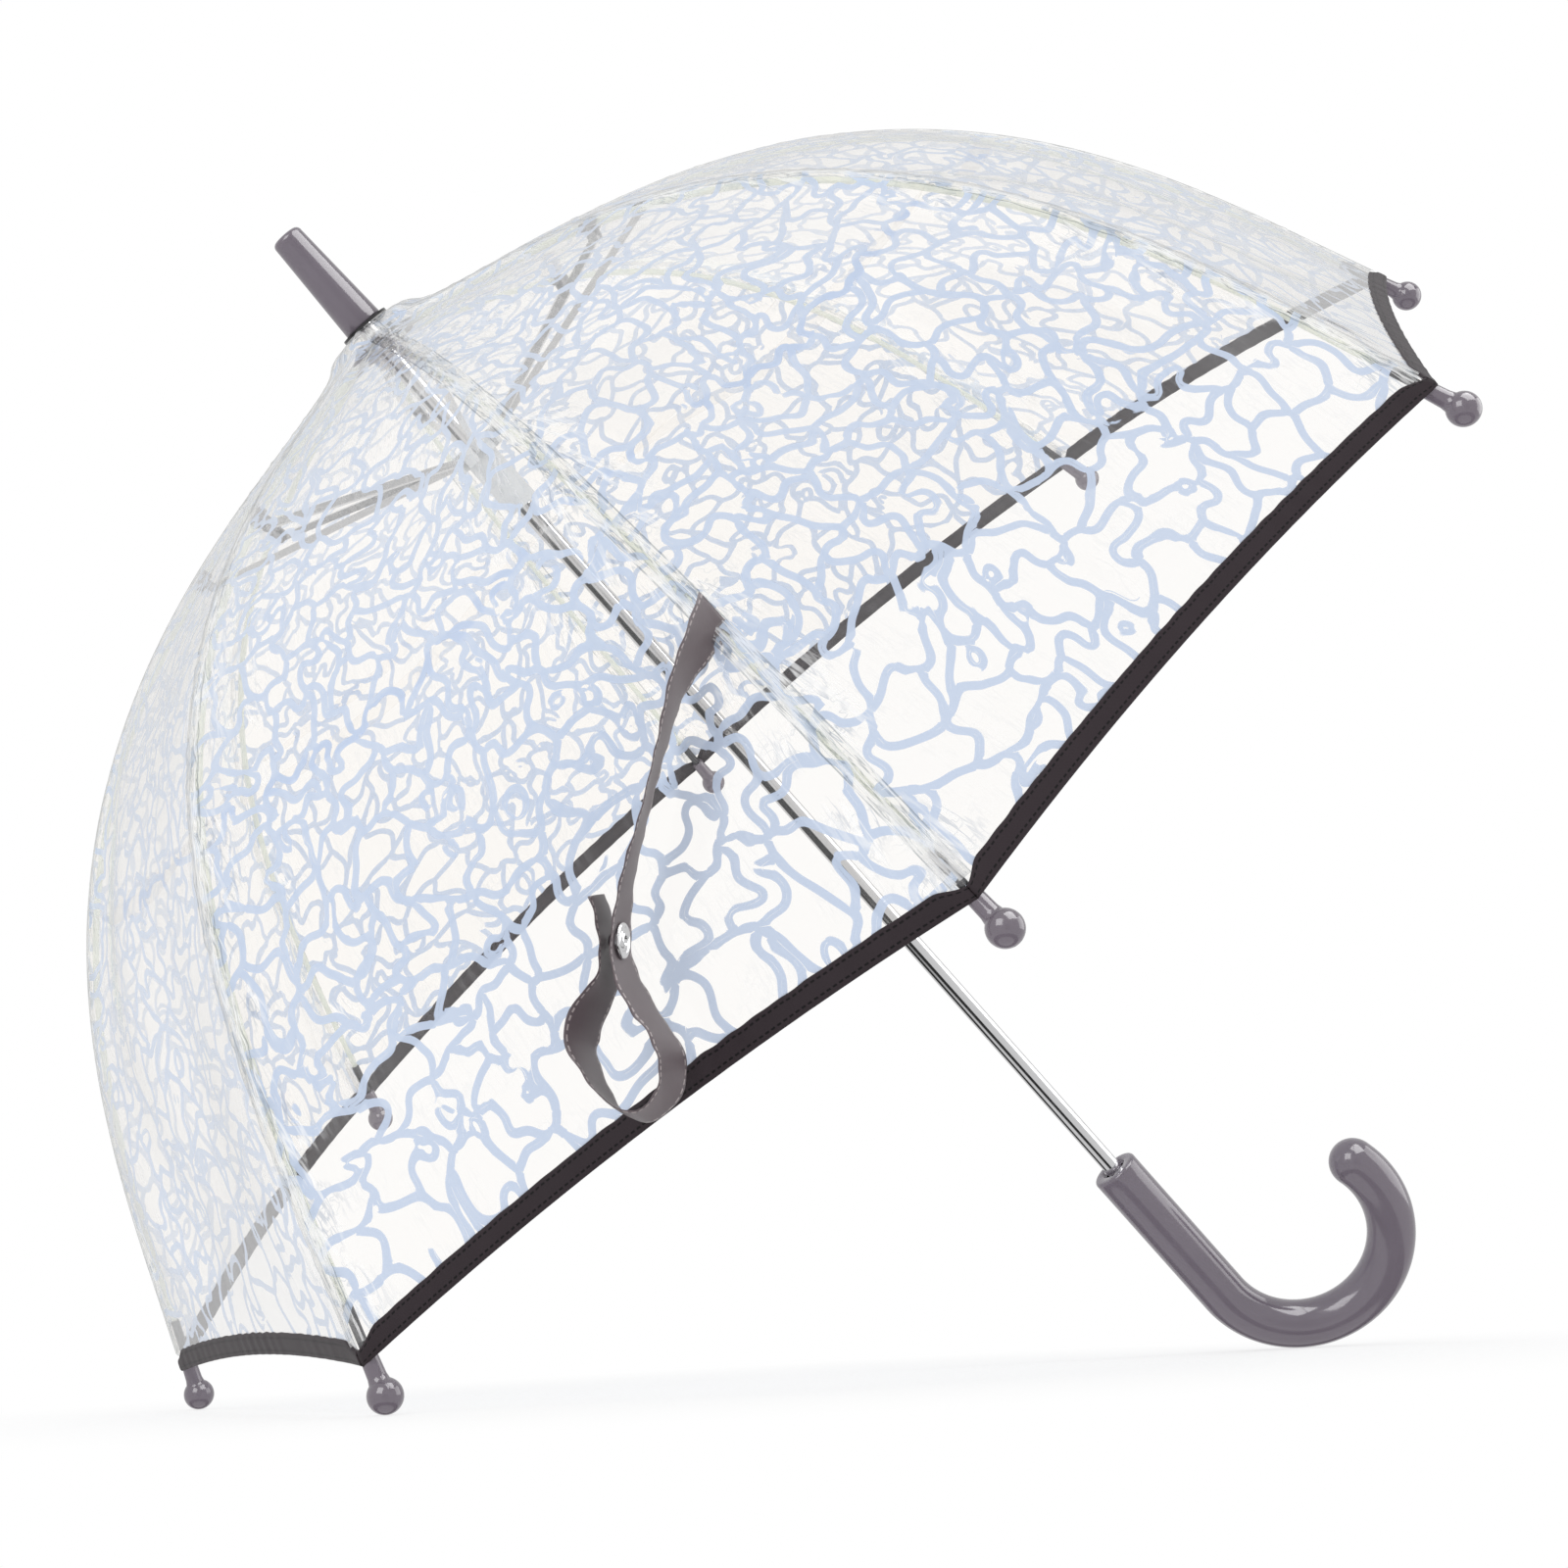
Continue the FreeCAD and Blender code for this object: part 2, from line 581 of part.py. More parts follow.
def closure_strap():
    """Strap that hangs from its seam, folded back into a loop and snapped to itself."""
    root = strap_top()
    half = STRAP_THICKNESS / 2.0
    run = box(
        (root.x - half, root.x + half),
        (root.y - STRAP_WIDTH, root.y),
        (root.z - STRAP_TO_NECK, root.z),
    )
    tab = box(
        (root.x - half, root.x + half),
        (root.y, root.y + STRAP_CLEARANCE),
        (root.z - STRAP_TAB_HEIGHT, root.z),
    )
    loop = strap_ring(0.0).cut(strap_ring(STRAP_THICKNESS)).extrude(-TANGENT * STRAP_WIDTH)
    end = box(
        (root.x - 3.0 * half - 0.3, root.x - half),
        (root.y - STRAP_WIDTH, root.y),
        (root.z - STRAP_TO_NECK - STRAP_THICKNESS, root.z - STRAP_TO_NECK + STRAP_END_LENGTH),
    )
    return swung(run.fuse([tab, loop, end]).removeSplitter())


def strap_snap():
    """Press stud that holds the strap's short end, on the outer face of the hanging part."""
    root = strap_top()
    face = root.x + STRAP_THICKNESS / 2.0
    centre = Vector(face, root.y - STRAP_WIDTH / 2.0, root.z - STRAP_TO_NECK + SNAP_HEIGHT)
    cap = cylinder(SNAP_RADIUS, SNAP_THICKNESS, centre, RADIAL)
    return swung(cap.makeFillet(0.8, [max(cap.Edges, key=lambda edge: edge.CenterOfMass.x)]))


def leaned(shape):
    """Copy of an upright shape leaned over with the umbrella."""
    copy = shape.copy()
    copy.rotate(ORIGIN, TANGENT, -LEAN)
    return copy


def build():
    """Every piece of the umbrella, leaned over, by node name."""
    upright = {
        "shaft_tube": shaft_tube(),
        "ferrule": ferrule(),
        "crown_washer": crown_washer(),
        "crown_notch": crown_notch(),
        "crown_wire": crown_wire(),
        "runner": runner(),
        "crook_handle": crook_handle(),
        "top_catch": catch(TOP_SHELF, -1.0),
        "bottom_catch": catch(BOTTOM_SHELF, 1.0),
        "stop_pin": stop_pin(),
    }
    at_rib = {
        "upper": rib_upper(),
        "lower": rib_lower(),
        "tip": rib_tip(),
    }
    arm, film, tape = stretcher(), panel(), hem()
    for number in range(1, RIB_COUNT + 1):
        azimuth = rib_azimuth(number)
        for name, shape in at_rib.items():
            upright[f"rib_{number}_{name}"] = turned(shape, azimuth)
        upright[f"stretcher_{number}"] = turned(arm, azimuth)
        upright[f"panel_{number}"] = turned(film, azimuth + HALF_PITCH)
        upright[f"hem_{number}"] = turned(tape, azimuth + HALF_PITCH)
    pieces = {name: leaned(shape) for name, shape in upright.items()}
    pieces["closure_strap"] = closure_strap()
    pieces["strap_snap"] = strap_snap()
    return pieces


def floor_shift(pieces):
    """Move that puts the middle of the footprint at the origin, on the floor."""
    bounds = FreeCAD.BoundBox()
    for shape in pieces.values():
        bounds.add(shape.optimalBoundingBox(False, False))
    return Vector(-bounds.Center.x, -bounds.Center.y, -bounds.ZMin)


PIECES = build()
SHIFT = floor_shift(PIECES)

os.makedirs("parts", exist_ok=True)
for node, piece in PIECES.items():
    piece.translate(SHIFT)
    piece.exportStep(f"parts/{node}.step")
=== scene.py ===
import json
import math

import bpy
import numpy as np
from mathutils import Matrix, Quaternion, Vector

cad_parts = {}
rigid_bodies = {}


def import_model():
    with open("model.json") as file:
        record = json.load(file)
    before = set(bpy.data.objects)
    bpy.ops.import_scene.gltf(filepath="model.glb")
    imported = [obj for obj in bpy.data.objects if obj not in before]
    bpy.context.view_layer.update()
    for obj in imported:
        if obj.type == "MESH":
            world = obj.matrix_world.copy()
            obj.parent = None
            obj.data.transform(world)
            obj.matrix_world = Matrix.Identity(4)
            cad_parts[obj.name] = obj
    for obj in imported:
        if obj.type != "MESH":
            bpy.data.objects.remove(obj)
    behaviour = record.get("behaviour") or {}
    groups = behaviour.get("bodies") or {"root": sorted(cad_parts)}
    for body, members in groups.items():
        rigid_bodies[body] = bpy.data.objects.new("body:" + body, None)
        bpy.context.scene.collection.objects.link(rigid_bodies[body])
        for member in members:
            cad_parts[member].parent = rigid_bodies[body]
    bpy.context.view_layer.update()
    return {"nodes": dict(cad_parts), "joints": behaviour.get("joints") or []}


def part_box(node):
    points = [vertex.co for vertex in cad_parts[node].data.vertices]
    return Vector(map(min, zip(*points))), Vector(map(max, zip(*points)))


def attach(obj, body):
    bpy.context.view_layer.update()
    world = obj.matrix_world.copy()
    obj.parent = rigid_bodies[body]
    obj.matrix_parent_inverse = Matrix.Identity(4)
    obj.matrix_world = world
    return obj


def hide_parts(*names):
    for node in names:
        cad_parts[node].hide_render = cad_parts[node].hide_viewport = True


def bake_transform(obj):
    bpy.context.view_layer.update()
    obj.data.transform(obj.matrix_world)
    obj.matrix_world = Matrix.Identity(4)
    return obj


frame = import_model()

MM = 0.001
WHITE = (1.0, 1.0, 1.0, 1.0)
UPWARD = np.array([0.0, 0.0, 1.0])
ORIGIN = np.zeros(3)

# Canopy: the rib's curve and the film over it, as on the CAD part
RIB_COUNT = 8
FIRST_RIB_AZIMUTH = 157.5
PITCH = 360.0 / RIB_COUNT
HALF_PITCH = math.radians(PITCH / 2.0)
RIB_LENGTH = 485.0
ROOT_SLOPE, TIP_SLOPE = 11.0, 65.0
BEND_START, BEND_END = 30.0, 440.0
PIVOT_RING_RADIUS = 9.5
FLEX_ARC = 270.0
STRETCHER_ARC, STRETCHER_DROP = 118.0, 5.0
FILM_OFFSET = 3.4
FILM_CROWN = [(9.0, 8.6), (20.6, 6.2), (31.7, 0.3)]
HEM_SETBACK, HEM_SAG, HEM_WIDTH, HEM_THICKNESS = 12.0, 6.0, 9.0, 1.5
HEM_FOLD = 1.5
HALF_HEM, HEM_GATHER = 139.0, 11.0
FLEX_HALF_SPAN, FLEX_BULGE, BAND_OVERLAP = 10.0, 16.0, 8.0
# Welded strip: half widths of its lines of points, and the radius out to which it narrows
SEAM_HALF_WIDTHS, SEAM_FULL_RADIUS = [0.0, 0.8, 2.4, 4.0, 4.6], 14.0
PRESSED_EDGE, STITCH_LENGTH = 4.2, 2.6

# Creases of the film: heights of the broad waves, pleats and puckers, and how far they reach
BROAD_HEIGHT, PLEAT_HEIGHT, PUCKER_HEIGHT = 1.3, 0.75, 0.14
FREE_REACH, PLEAT_REACH, PUCKER_REACH, PUCKER_START = 9.0, 75.0, 12.0, 2.0
HEM_CLEARANCE, HEM_FADE = 2.0, 35.0
# Steps from panel to panel, so that no two have the same creases or print
WAVE_STEP, CREASE_STEP, PRINT_STEP = 137.0, (0.41, 0.23), (0.83, 0.57)

# Hardware
SHAFT_RADIUS, SHAFT_BORE, SHAFT_TOP, SHAFT_IN_HANDLE = 4.0, 3.4, 30.0, 20.0
CATCH_SLOT_HALF_LENGTH, CATCH_SLOT_HALF_WIDTH = 7.0, 0.6
HANDLE_TOP, HANDLE_RADIUS, HANDLE_STRAIGHT = -493.0, 11.0, 80.0
CROOK_RADIUS, CROOK_SWEEP, CROOK_AZIMUTH = 43.0, 195.0, -35.0
FERRULE_BOTTOM, FERRULE_LENGTH = 10.25, 50.0
BALL_RADIUS, STEM_RADIUS, STEM_LENGTH = 6.5, 3.5, 17.5
ROD_RADIUS, SADDLE_RADIUS, EAR_OFFSET, EAR_HALF_THICKNESS = 1.4, 1.9, 1.9, 0.5

# Print on the film: cells shrink toward the crown, and their sides are pushed about by two
# noises, given as (scale, reach in metres)
CELLS_PER_METRE, LINE_WIDTH, LINE_SOFTNESS = 44.0, 3.1, 0.15
CROWN_SHRINK = 1.5
PRINT_WARPS = ((13.0, 0.026), (62.0, 0.0225))
# Corners are rounded by blending each distance with those of four neighbours, ROUNDING away
ROUNDING, ROUNDING_CAP, SLOPE_STEP = 3.0, 3.5, 0.3
MIDDLE_SHARE, BESIDE_SHARE, BLURRED_SLOPE = 0.5, 0.125, 0.665

# Camera, in the row frame: low, near the floor, looking slightly up
CAMERA_PLACE = Vector((-0.5083, -1.0599, 0.0253))
CAMERA_FORWARD = Vector((0.4238, 0.8846, 0.1944))
CAMERA_ROLL = -3.03
CAMERA_LENS = 61.9

JOINTS = {joint["name"]: joint for joint in frame["joints"]}
UP = -Vector(JOINTS["runner_slide"]["axis"]).normalized()
ACROSS = Vector((0.0, 1.0, 0.0))
FRONT = ACROSS.cross(UP)
BASIS = np.array([FRONT, ACROSS, UP])
PIVOTS = [JOINTS[f"rib_{number}_hinge"]["pos_m"] for number in range(1, RIB_COUNT + 1)]
CROWN = np.mean(np.array(PIVOTS), axis=0)


# ---------------------------------------------------------------- geometry

def to_row(points):
    """Upright points in millimetres to the row frame in metres."""
    return CROWN + np.asarray(points, float) * MM @ BASIS


def rib_azimuth(number):
    return math.radians(FIRST_RIB_AZIMUTH + (number - 1) * PITCH)


def rib_slope(arc):
    t = np.clip((np.asarray(arc, float) - BEND_START) / (BEND_END - BEND_START), 0.0, 1.0)
    return np.radians(ROOT_SLOPE + (TIP_SLOPE - ROOT_SLOPE) * t * t * (3.0 - 2.0 * t))


ARCS = np.arange(0.0, RIB_LENGTH + 1.0)
STEP_SLOPES = rib_slope(ARCS[:-1] + 0.5)
RIB_X = PIVOT_RING_RADIUS + np.concatenate([[0.0], np.cumsum(np.cos(STEP_SLOPES))])
RIB_Z = -np.concatenate([[0.0], np.cumsum(np.sin(STEP_SLOPES))])


def on_rib(arc, lift=0.0):
    """Radius and height at an arc length of the rib, lifted off its centreline."""
    slope = rib_slope(arc)
    x = np.interp(arc, ARCS, RIB_X) + lift * np.sin(slope)
    z = np.interp(arc, ARCS, RIB_Z) + lift * np.cos(slope)
    return x, z


def turned(x, y, z, a):
    """Points turned by angle a about the shaft."""
    return np.stack([x * math.cos(a) - y * math.sin(a), x * math.sin(a) + y * math.cos(a), z], -1)


def rib_point(number, arc, lift=0.0):
    """Points on rib number, lifted off its centreline."""
    x, z = on_rib(arc, lift)
    return turned(x, np.zeros_like(x), z, rib_azimuth(number))


def smooth_curve(points, per_span):
    """Catmull-Rom curve through points."""
    p = np.asarray(points, float)
    p = np.vstack([2 * p[0] - p[1], p, 2 * p[-1] - p[-2]])
    t = np.linspace(0.0, 1.0, per_span, endpoint=False)[:, None]
    spans = [
        0.5 * (2 * b + (c - a) * t + (2 * a - 5 * b + 4 * c - d) * t**2 + (3 * b - a - 3 * c + d) * t**3)
        for a, b, c, d in zip(p, p[1:], p[2:], p[3:])
    ]
    return np.vstack(spans + [p[-2:-1]])


def film_meridian():
    """Radius, height and running length of the film's ridge from crown to hem."""
    arcs = np.arange(60.0, RIB_LENGTH - HEM_SETBACK + 1.0, 15.0)
    ridge = np.stack(on_rib(np.append(arcs, RIB_LENGTH - HEM_SETBACK), FILM_OFFSET), -1)
    curve = smooth_curve(np.vstack([FILM_CROWN, ridge]), 12)
    length = np.concatenate([[0.0], np.cumsum(np.hypot(*np.diff(curve, axis=0).T))])
    return curve[:, 0], curve[:, 1], length


FILM_X, FILM_Z, FILM_RUN = film_meridian()
HEM_RUN = FILM_RUN[-1]
FLEX_X = on_rib(FLEX_ARC, FILM_OFFSET)[0]
FLEX_RUN = float(np.interp(FLEX_X, FILM_X, FILM_RUN))


def film_ridge(run):
    """Radius and height of the film over a rib, at a running length from the crown."""
    return np.interp(run, FILM_RUN, FILM_X), np.interp(run, FILM_RUN, FILM_Z)


def waves(seed, count, low, high):
    """A smooth random field of two variables, about 1 high, from a sum of waves."""
    rng = np.random.default_rng(seed)
    k = rng.uniform(low, high, (count, 2)) * rng.choice([-1.0, 1.0], (count, 2))
    phase = rng.uniform(0.0, 2.0 * math.pi, count)
    return lambda x, y: sum(
        np.sin(kx * x + ky * y + p) for (kx, ky), p in zip(k, phase)
    ) / math.sqrt(count / 2.0)


def film_points(number, u, run, lift):
    """Points of panel number: u runs from -1 at its own rib to 1 at the next rib."""
    x, z = film_ridge(run)
    width = x * math.sin(HALF_PITCH)
    slope_x = np.interp(run, FILM_RUN[1:], np.diff(FILM_X) / np.diff(FILM_RUN))
    slope_z = np.interp(run, FILM_RUN[1:], np.diff(FILM_Z) / np.diff(FILM_RUN))
    middle = x * math.cos(HALF_PITCH)
    normal = np.stack([-slope_z, np.zeros_like(x + u), slope_x * math.cos(HALF_PITCH) + 0.0 * u], -1)
    normal /= np.linalg.norm(normal, axis=-1, keepdims=True)
    flat = np.stack([middle + 0.0 * u, u * width, z + 0.0 * u], -1) + normal * np.asarray(lift)[..., None]
    return turned(flat[..., 0], flat[..., 1], flat[..., 2], rib_azimuth(number) + HALF_PITCH)


# ------------------------------------------------------------ mesh helpers

def grid_faces(rows, columns, wrap=False):
    """Four-sided faces between rows of points, closed round each row if it wraps."""
    faces = []
    span = columns if wrap else columns - 1
    for row in range(rows - 1):
        for column in range(span):
            a = row * columns + column
            b = row * columns + (column + 1) % columns
            faces.append((a, b, b + columns, a + columns))
    return faces


def closed_ends(rows, columns):
    """The two end faces of a closed tube of points."""
    last = (rows - 1) * columns
    return [tuple(range(columns))[::-1], tuple(range(last, last + columns))]


def smooth_shaded(mesh):
    mesh.polygons.foreach_set("use_smooth", [True] * len(mesh.polygons))


def piece(name, points, faces, material, uv=None, **maps):
    """Mesh object from row-frame points, with an optional uv per point and more named maps."""
    mesh = bpy.data.meshes.new(name)
    mesh.from_pydata(np.asarray(points, float).reshape(-1, 3).tolist(), [], [tuple(f) for f in faces])
    corners = np.zeros(len(mesh.loops), int)
    mesh.loops.foreach_get("vertex_index", corners)
    for layer_name, values in {"flat": uv, **maps}.items():
        if values is not None:
            at_corners = np.asarray(values, float).reshape(-1, 2)[corners].astype(np.float32)
            mesh.uv_layers.new(name=layer_name).data.foreach_set("uv", at_corners.ravel())
    smooth_shaded(mesh)
    mesh.materials.append(material)
    mesh.update()
    thing = bpy.data.objects.new(name, mesh)
    bpy.context.scene.collection.objects.link(thing)
    return thing


def join_parts(pairs):
    """One point list and face list from several (points, faces) pairs."""
    points, faces, start = [], [], 0
    for part_points, part_faces in pairs:
        part_points = np.asarray(part_points, float).reshape(-1, 3)
        points.append(part_points)
        faces += [tuple(index + start for index in face) for face in part_faces]
        start += len(part_points)
    return np.vstack(points), faces


def frame_along(path):
    """Tangent and two square directions at each point of a path, without twist."""
    path = np.asarray(path, float)
    tangent = np.gradient(path, axis=0)
    tangent /= np.linalg.norm(tangent, axis=1, keepdims=True)
    side = np.cross(tangent[0], [0.31, 0.52, 0.79])
    sides = []
    for t in tangent:
        side = side - t * (side @ t)
        side = side / np.linalg.norm(side)
        sides.append(side)
    sides = np.array(sides)
    return tangent, sides, np.cross(tangent, sides)


def tube(path, radii, segments):
    """Closed round tube along a path: (points, faces)."""
    path = np.asarray(path, float)
    _, a, b = frame_along(path)
    radii = np.zeros(len(path)) + radii
    angle = np.linspace(0.0, 2.0 * math.pi, segments, endpoint=False)
    ring = np.cos(angle)[None, :, None] * a[:, None] + np.sin(angle)[None, :, None] * b[:, None]
    points = (path[:, None] + ring * radii[:, None, None]).reshape(-1, 3)
    return points, grid_faces(len(path), segments, wrap=True) + closed_ends(len(path), segments)


def lathe(profile, base, axis, segments):
    """Surface turned about an axis: profile rows are (radius, distance along it)."""
    axis = np.asarray(axis, float)
    axis = axis / np.linalg.norm(axis)
    side = np.cross(axis, [0.23, 0.91, 0.37])
    side /= np.linalg.norm(side)
    other = np.cross(axis, side)
    angle = np.linspace(0.0, 2.0 * math.pi, segments, endpoint=False)
    ring = np.cos(angle)[:, None] * side + np.sin(angle)[:, None] * other
    rows = [np.asarray(base) + axis * along + ring * radius for radius, along in profile]
    faces = grid_faces(len(rows), segments, wrap=True) + closed_ends(len(rows), segments)
    return np.array(rows).reshape(-1, 3), faces


def arc_profile(radius, start, end, steps, centre=(0.0, 0.0)):
    """Points of a circle's arc as (radius, along) rows, angles in degrees from the axis."""
    angle = np.radians(np.linspace(start, end, steps))
    return [(centre[0] + radius * math.sin(a), centre[1] + radius * math.cos(a)) for a in angle]


def dress(name, material, width):
    """Material and small rounded edges of a CAD node."""
    thing = frame["nodes"][name]
    thing.data.materials.clear()
    thing.data.materials.append(material)
    smooth_shaded(thing.data)
    if not width:
        return
    modifier = thing.modifiers.new("edges", "BEVEL")
    modifier.width = width * MM
    modifier.segments = 2
    modifier.limit_method = "ANGLE"
    modifier.angle_limit = math.radians(40.0)
    modifier.harden_normals = True


# ---------------------------------------------------------------- materials

class Value:
    """Output of a shader node, for use in plain arithmetic."""

    def __init__(self, tree, socket):
        self.tree, self.socket = tree, socket

    def apply(self, operation, other=0.0):
        return node(self.tree, "ShaderNodeMath", {0: self, 1: other}, operation=operation)

    def __add__(self, other):
        return self.apply("ADD", other)

    def __sub__(self, other):
        return self.apply("SUBTRACT", other)

    def __rsub__(self, other):
        return node(self.tree, "ShaderNodeMath", {0: other, 1: self}, operation="SUBTRACT")

    def __mul__(self, other):
        return self.apply("MULTIPLY", other)

    def __truediv__(self, other):
        return self.apply("DIVIDE", other)

    def __pow__(self, other):
        return self.apply("POWER", other)

    def __abs__(self):
        return self.apply("ABSOLUTE")


def node(tree, kind, inputs=None, output=0, **settings):
    """One output of a new node, whose inputs are plain values or other outputs."""
    made = tree.nodes.new(kind)
    for name, value in settings.items():
        setattr(made, name, value)
    for name, value in (inputs or {}).items():
        if isinstance(value, Value):
            tree.links.new(value.socket, made.inputs[name])
        else:
            made.inputs[name].default_value = value
    return Value(tree, made.outputs[output])


def new_material(name):
    material = bpy.data.materials.new(name)
    material.use_nodes = True
    material.node_tree.nodes.clear()
    return material, material.node_tree


def finished(material, shader):
    """The material, with its last shader joined to the surface."""
    out = shader.tree.nodes.new("ShaderNodeOutputMaterial")
    shader.tree.links.new(shader.socket, out.inputs["Surface"])
    return material


def ramp(value, low, high, out_low=0.0, out_high=1.0):
    """Smooth step of a value between low and high."""
    inputs = {"Value": value, "From Min": low, "From Max": high, "To Min": out_low, "To Max": out_high}
    return node(value.tree, "ShaderNodeMapRange", inputs, interpolation_type="SMOOTHSTEP")


def vector_math(operation, a, b=(0.0, 0.0, 0.0), output=0):
    return node(a.tree, "ShaderNodeVectorMath", {0: a, 1: b}, output, operation=operation)


def parts(vector):
    """The three numbers of a vector."""
    split = node(vector.tree, "ShaderNodeSeparateXYZ", {0: vector}).socket.node
    return [Value(vector.tree, output) for output in split.outputs]


def mapped(place, scale=(1.0, 1.0, 1.0), offset=(0.0, 0.0, 0.0)):
    return node(place.tree, "ShaderNodeMapping", {"Vector": place, "Scale": scale, "Location": offset})


def noise(place, scale, detail=2.0, roughness=0.5, output="Fac", dimensions="3D"):
    inputs = {"Vector": place, "Scale": scale, "Detail": detail, "Roughness": roughness}
    return node(place.tree, "ShaderNodeTexNoise", inputs, output, noise_dimensions=dimensions)


def bump(height, strength, distance):
    return node(height.tree, "ShaderNodeBump", {"Strength": strength, "Distance": distance, "Height": height})


def flat_uv(tree, name="flat"):
    return node(tree, "ShaderNodeUVMap", uv_map=name)


def mix_colours(factor, first, second):
    """A blend of two colours, each given as three numbers or as an output."""
    inputs = {"Factor": factor}
    for name, colour in (("A", first), ("B", second)):
        inputs[name] = colour if isinstance(colour, Value) else (*colour, 1.0)
    return node(factor.tree, "ShaderNodeMix", inputs, "Result", data_type="RGBA")


def mix_shaders(factor, first, second):
    return node(first.tree, "ShaderNodeMixShader", {0: factor, 1: first, 2: second})


def glossy_plastic(name, colour, roughness):
    """Moulded plastic with a fine orange-peel skin and faint mottling."""
    material, tree = new_material(name)
    place = node(tree, "ShaderNodeTexCoord", output="Object")
    soft = noise(place, 60.0)
    darker, lighter = [c * 0.95 for c in colour], [min(c * 1.06, 1.0) for c in colour]
    return finished(material, node(tree, "ShaderNodeBsdfPrincipled", {
        "Base Color": mix_colours(soft, darker, lighter),
        "Roughness": ramp(soft, 0.3, 0.7, roughness - 0.04, roughness + 0.05),
        "Coat Weight": 0.7,
        "Coat Roughness": 0.04,
        "Normal": bump(noise(place, 900.0, 3.0), 0.25, 0.0025 * MM),
    }))


def metal(name, colour, roughness, brushed=0.0):
    """Metal with fine scratches; brushed makes them rougher and deeper."""
    material, tree = new_material(name)
    scratches_and_crease_shade = noise(node(tree, "ShaderNodeTexCoord", output="Object"), 400.0, 4.0, 0.6)
    return finished(material, node(tree, "ShaderNodeBsdfPrincipled", {
        "Base Color": (*colour, 1.0),
        "Metallic": 1.0,
        "Roughness": ramp(scratches_and_crease_shade, 0.35, 0.75, roughness, roughness + 0.08 + brushed),
        "Normal": bump(scratches_and_crease_shade, 0.10 + brushed, 0.0012 * MM),
    }))


def fibreglass():
    """Translucent pale rod with long glass strands inside."""
    material, tree = new_material("fibreglass")
    strands = noise(mapped(flat_uv(tree), (900.0, 12.0, 1.0)), 1.0, 3.0)
    return finished(material, node(tree, "ShaderNodeBsdfPrincipled", {
        "Base Color": mix_colours(strands, (0.80, 0.84, 0.72), (0.94, 0.96, 0.90)),
        "Roughness": 0.28,
        "Alpha": 0.65,
        "Subsurface Weight": 0.2,
        "Subsurface Radius": (0.002, 0.002, 0.002),
        "Normal": bump(strands, 0.3, 0.01 * MM),
    }))


def warped(place, shift):
    """A place on the print, shifted and pushed about, so that straight cell sides turn wavy."""
    here = vector_math("ADD", place, shift)
    for scale, reach in PRINT_WARPS:
        push = vector_math("SUBTRACT", noise(here, scale, 0.0, 0.4, "Color", "2D"), (0.5, 0.5, 0.5))
        here = vector_math("ADD", here, vector_math("MULTIPLY", push, (reach, reach, 0.0)))
    return here


def cell_edge(place, shift=(0.0, 0.0, 0.0)):
    """Distance to the nearest cell side, in metres on the flat print."""
    inputs = {"Scale": CELLS_PER_METRE, "Randomness": 1.0, "Vector": vector_math("ADD", place, shift)}
    settings = {"voronoi_dimensions": "2D", "feature": "DISTANCE_TO_EDGE"}
    return node(place.tree, "ShaderNodeTexVoronoi", inputs, "Distance", **settings) / CELLS_PER_METRE


def print_mask(place, shrink):
    """Outlines of wavy cells with rounded corners, of even width, 1 on a printed line."""
    step = SLOPE_STEP * MM
    centre = warped(place, (0.0, 0.0, 0.0))
    middle = cell_edge(centre)
    run = cell_edge(warped(place, (step, 0.0, 0.0))) - middle
    rise = cell_edge(warped(place, (0.0, step, 0.0))) - middle
    stretch = (run ** 2.0 + rise ** 2.0 + 1e-12).apply("SQRT") / step
    left, right, below, above = [
        cell_edge(centre, (x * MM, y * MM, 0.0)).apply("MINIMUM", ROUNDING_CAP * MM)
        for x, y in ((ROUNDING, 0.0), (-ROUNDING, 0.0), (0.0, ROUNDING), (0.0, -ROUNDING))
    ]
    blurred = middle * MIDDLE_SHARE + (left + right + below + above) * BESIDE_SHARE
    # On a straight line two neighbours lie on it too, and two lie ROUNDING away
    distance = (blurred - 2.0 * BESIDE_SHARE * ROUNDING * MM) / BLURRED_SLOPE
    distance = distance / (stretch * shrink.apply("SQRT"))
    half = LINE_WIDTH * MM / 2.0
    return ramp(distance, half - LINE_SOFTNESS * MM, half + LINE_SOFTNESS * MM, 1.0, 0.0)


def grazing(normal):
    """0 where a surface is seen square on, 1 where it's seen edge on, from either side."""
    return node(normal.tree, "ShaderNodeLayerWeight", {"Blend": 0.5, "Normal": normal}, "Facing")


def mirror_share(graze, low, high):
    """How much of a clear sheet's light is mirrored: low square on, high edge on."""
    return graze ** 4.0 * (high - low) + low


def painted_glint_white(tree):
    """White diffuse and translucent shading for painted highlight glints along creases, the same from both sides.
    """
    front = node(tree, "ShaderNodeBsdfDiffuse", {"Color": WHITE})
    return mix_shaders(0.5, front, node(tree, "ShaderNodeBsdfTranslucent", {"Color": WHITE}))


def streaks(place, across, along, width):
    """Thin ridges of a stretched noise, 1 on a ridge."""
    field = noise(mapped(place, (across, along, 1.0)), 1.0, 3.0, 0.6)
    return ramp(abs(field - 0.5), 0.0, width, 1.0, 0.0)


